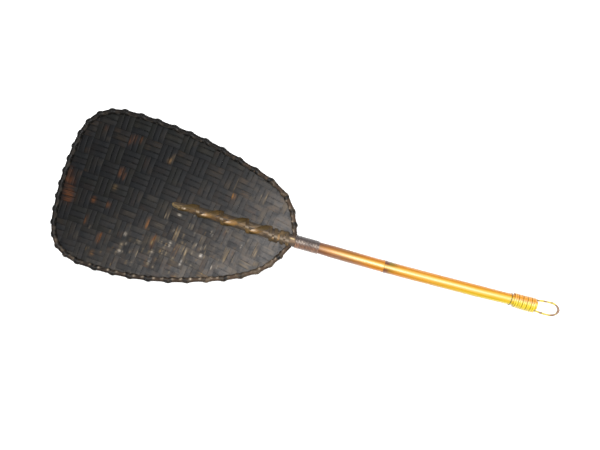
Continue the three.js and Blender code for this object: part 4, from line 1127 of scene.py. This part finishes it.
# A painted highlight along the binding's crest, strongest in two stretches and on every other turn.
rub_and_highlight = np.exp(-((v[:, 1] - 0.6) / 1.15) ** 2) * (v[:, 2] > 0) * stretch * every_other * 1.25
make("neck_binding_thread", bowed(v), f, THREAD, ["neck_binding"], {
    "along": along, "across": across, "tone": np.full(len(v), 0.5), "warm": warm, "rub_and_highlight": rub_and_highlight.clip(0, 1), "painted_groove_shade": painted_groove_shade * 0.9,
})
# One thin thread with its ends side by side, a little askew.
m, n = 12, 96
a = 2 * math.pi * np.arange(n) / n
b = 2 * math.pi * np.arange(m) / m
grid_a, grid_b = np.meshgrid(a, b, indexing="ij")
ring_r = 4.53 + 0.24 * np.sin(grid_b)
v = np.stack([
    167.2 + 0.30 * np.cos(grid_a) + 0.34 * np.cos(grid_b) + 0.03 * np.sin(3 * grid_a),
    ring_r * np.cos(grid_a), ring_r * np.sin(grid_a),
], -1).reshape(-1, 3)
f = [[i * m + j, i * m + (j + 1) % m, (i + 1) % n * m + (j + 1) % m, (i + 1) % n * m + j] for i in range(n) for j in range(m)]
make("butt_ring_thread", bowed(v), f, RING, ["butt_ring"], {
    "along": (grid_a * 4.5).ravel(), "across": (grid_b * 0.4).ravel(), "tone": np.full(len(v), 0.2), "warm": np.full(len(v), 0.2), "rub_and_highlight": np.zeros(len(v)),
})
v, f, along, across = coil(WRAP_X[0] - 0.5, WRAP_X[1], WRAP_TURNS, 5.13, 0.84, 0.27, 48, 47, flat=True, hand=-1, start=math.pi)
# The wrap goes round the two legs of the loop, so it is wider from side to side than it is high.
v[:, 1] = v[:, 1] * (1.02 + 0.045 * smooth(171, 182, v[:, 0])) - 0.30 * smooth(170, 180, v[:, 0])
# A painted highlight along the wrap's crest.
make("butt_wrap_cane", bowed(v), f, WRAP, ["butt_wrap"], {
    "along": along, "across": across, "tone": np.full(len(v), 0.6), "warm": (smooth(3.4, -0.8, v[:, 1]) + 0.12 * wobble(along, 30, 12)).clip(0, 1),
    "rub_and_highlight": 0.38 * np.exp(-((v[:, 1] - 1.3) / 1.1) ** 2) * (v[:, 2] > 0),
})

# ---------------------------------------------------------------- hanging loop

half = LOOP_STATIONS
points = np.vstack([half, [[205.75, 0.0]], (half * [1, -1])[::-1]])
line = catmull(points, 10)
t = np.gradient(line, axis=0)
t /= np.linalg.norm(t, axis=1, keepdims=True)
side = np.stack([-t[:, 1], t[:, 0]], -1)
m = 16
b = 2 * math.pi * np.arange(m) / m
d = np.concatenate([[0], np.cumsum(np.hypot(*np.diff(line, axis=0).T))])
thick = LOOP_R * (0.98 + 0.07 * wobble(d, 7, 61) + 0.16 * (1 - smooth(1.5, 7.0, np.abs(d - d[-1] / 2))))
WIDE = 1.15  # the cane is a little wider in the loop's plane than it is thick
line[:, 0] = np.minimum(line[:, 0] - 0.34 * smooth(199, 205.5, line[:, 0]), 206.30 - thick * WIDE)
sy = np.cos(b)
sz = np.sign(np.sin(b)) * np.abs(np.sin(b)) ** 0.8
rings = np.stack([
    line[:, None, 0] + side[:, None, 0] * thick[:, None] * sy * WIDE,
    line[:, None, 1] + side[:, None, 1] * thick[:, None] * sy * WIDE,
    thick[:, None] * sz * np.ones(len(line))[:, None],
], -1)
v, f = sweep(rings)
tip = np.abs(d - d[-1] / 2)
warm = np.repeat((0.72 - 0.67 * (1 - smooth(4.5, 9.0, tip)) + 0.55 * wobble(d, 6, 66)).clip(0, 1), m)
make("hanging_loop_cane", bowed(v), f, LOOP, ["hanging_loop"], {
    "along": np.repeat(d, m), "across": np.tile(b * LOOP_R, len(line)), "tone": np.full(len(v), 0.9), "warm": warm,
})

# ---------------------------------------------------------------- floor, light and camera

TILT = math.radians(14.937)  # the handle runs down to the right by this
CENTRE = np.array([-4.09 + SHIFT[0], 13.83 + SHIFT[1], SHIFT[2]]) * 0.001
right = np.array([math.cos(TILT), math.sin(TILT), 0])
down = np.array([math.sin(TILT), -math.cos(TILT), 0])

floor_mesh = bpy.data.meshes.new("floor")
floor_mesh.from_pydata([(-3, -3, 0), (3, -3, 0), (3, 3, 0), (-3, 3, 0)], [], [(0, 1, 2, 3)])
floor_mesh.materials.append(floor_look())
floor = bpy.data.objects.new("floor", floor_mesh)
bpy.context.scene.collection.objects.link(floor)

world = bpy.data.worlds.new("studio")
world.use_nodes = True
world.node_tree.nodes["Background"].inputs[0].default_value = (1.0, 1.0, 1.0, 1)
world.node_tree.nodes["Background"].inputs[1].default_value = 0.15
bpy.context.scene.world = world


def area_light(name, place, size, power, colour=(1, 1, 1), aim=None):
    light = bpy.data.lights.new(name, "AREA")
    light.shape = "DISK"
    light.size = size
    light.energy = power
    light.color = colour
    o = bpy.data.objects.new(name, light)
    bpy.context.scene.collection.objects.link(o)
    o.location = place
    from mathutils import Vector
    toward = Vector(aim if aim is not None else CENTRE) - Vector(place)
    o.rotation_mode = "QUATERNION"
    o.rotation_quaternion = toward.to_track_quat("-Z", "Y")
    return o


area_light("key", CENTRE - down * 0.05 + np.array([0, 0, 0.95]), 0.55, 12.0)
fill = area_light("fill", CENTRE + np.array([0, 0, 1.5]), 3.2, 48.0)
fill.visible_glossy = False  # it only lifts the shadows

camera = bpy.data.cameras.new("camera")
camera.sensor_width = 36
camera.lens = 36 * 600 / 462.6
camera.clip_start, camera.clip_end = 0.01, 20
cam = bpy.data.objects.new("camera", camera)
cam.location = CENTRE + np.array([0, 0, 0.6])
cam.rotation_euler = (0, 0, TILT)
bpy.context.scene.collection.objects.link(cam)
bpy.context.scene.camera = cam
bpy.context.scene.view_settings.view_transform = "Standard"

bpy.context.view_layer.update()
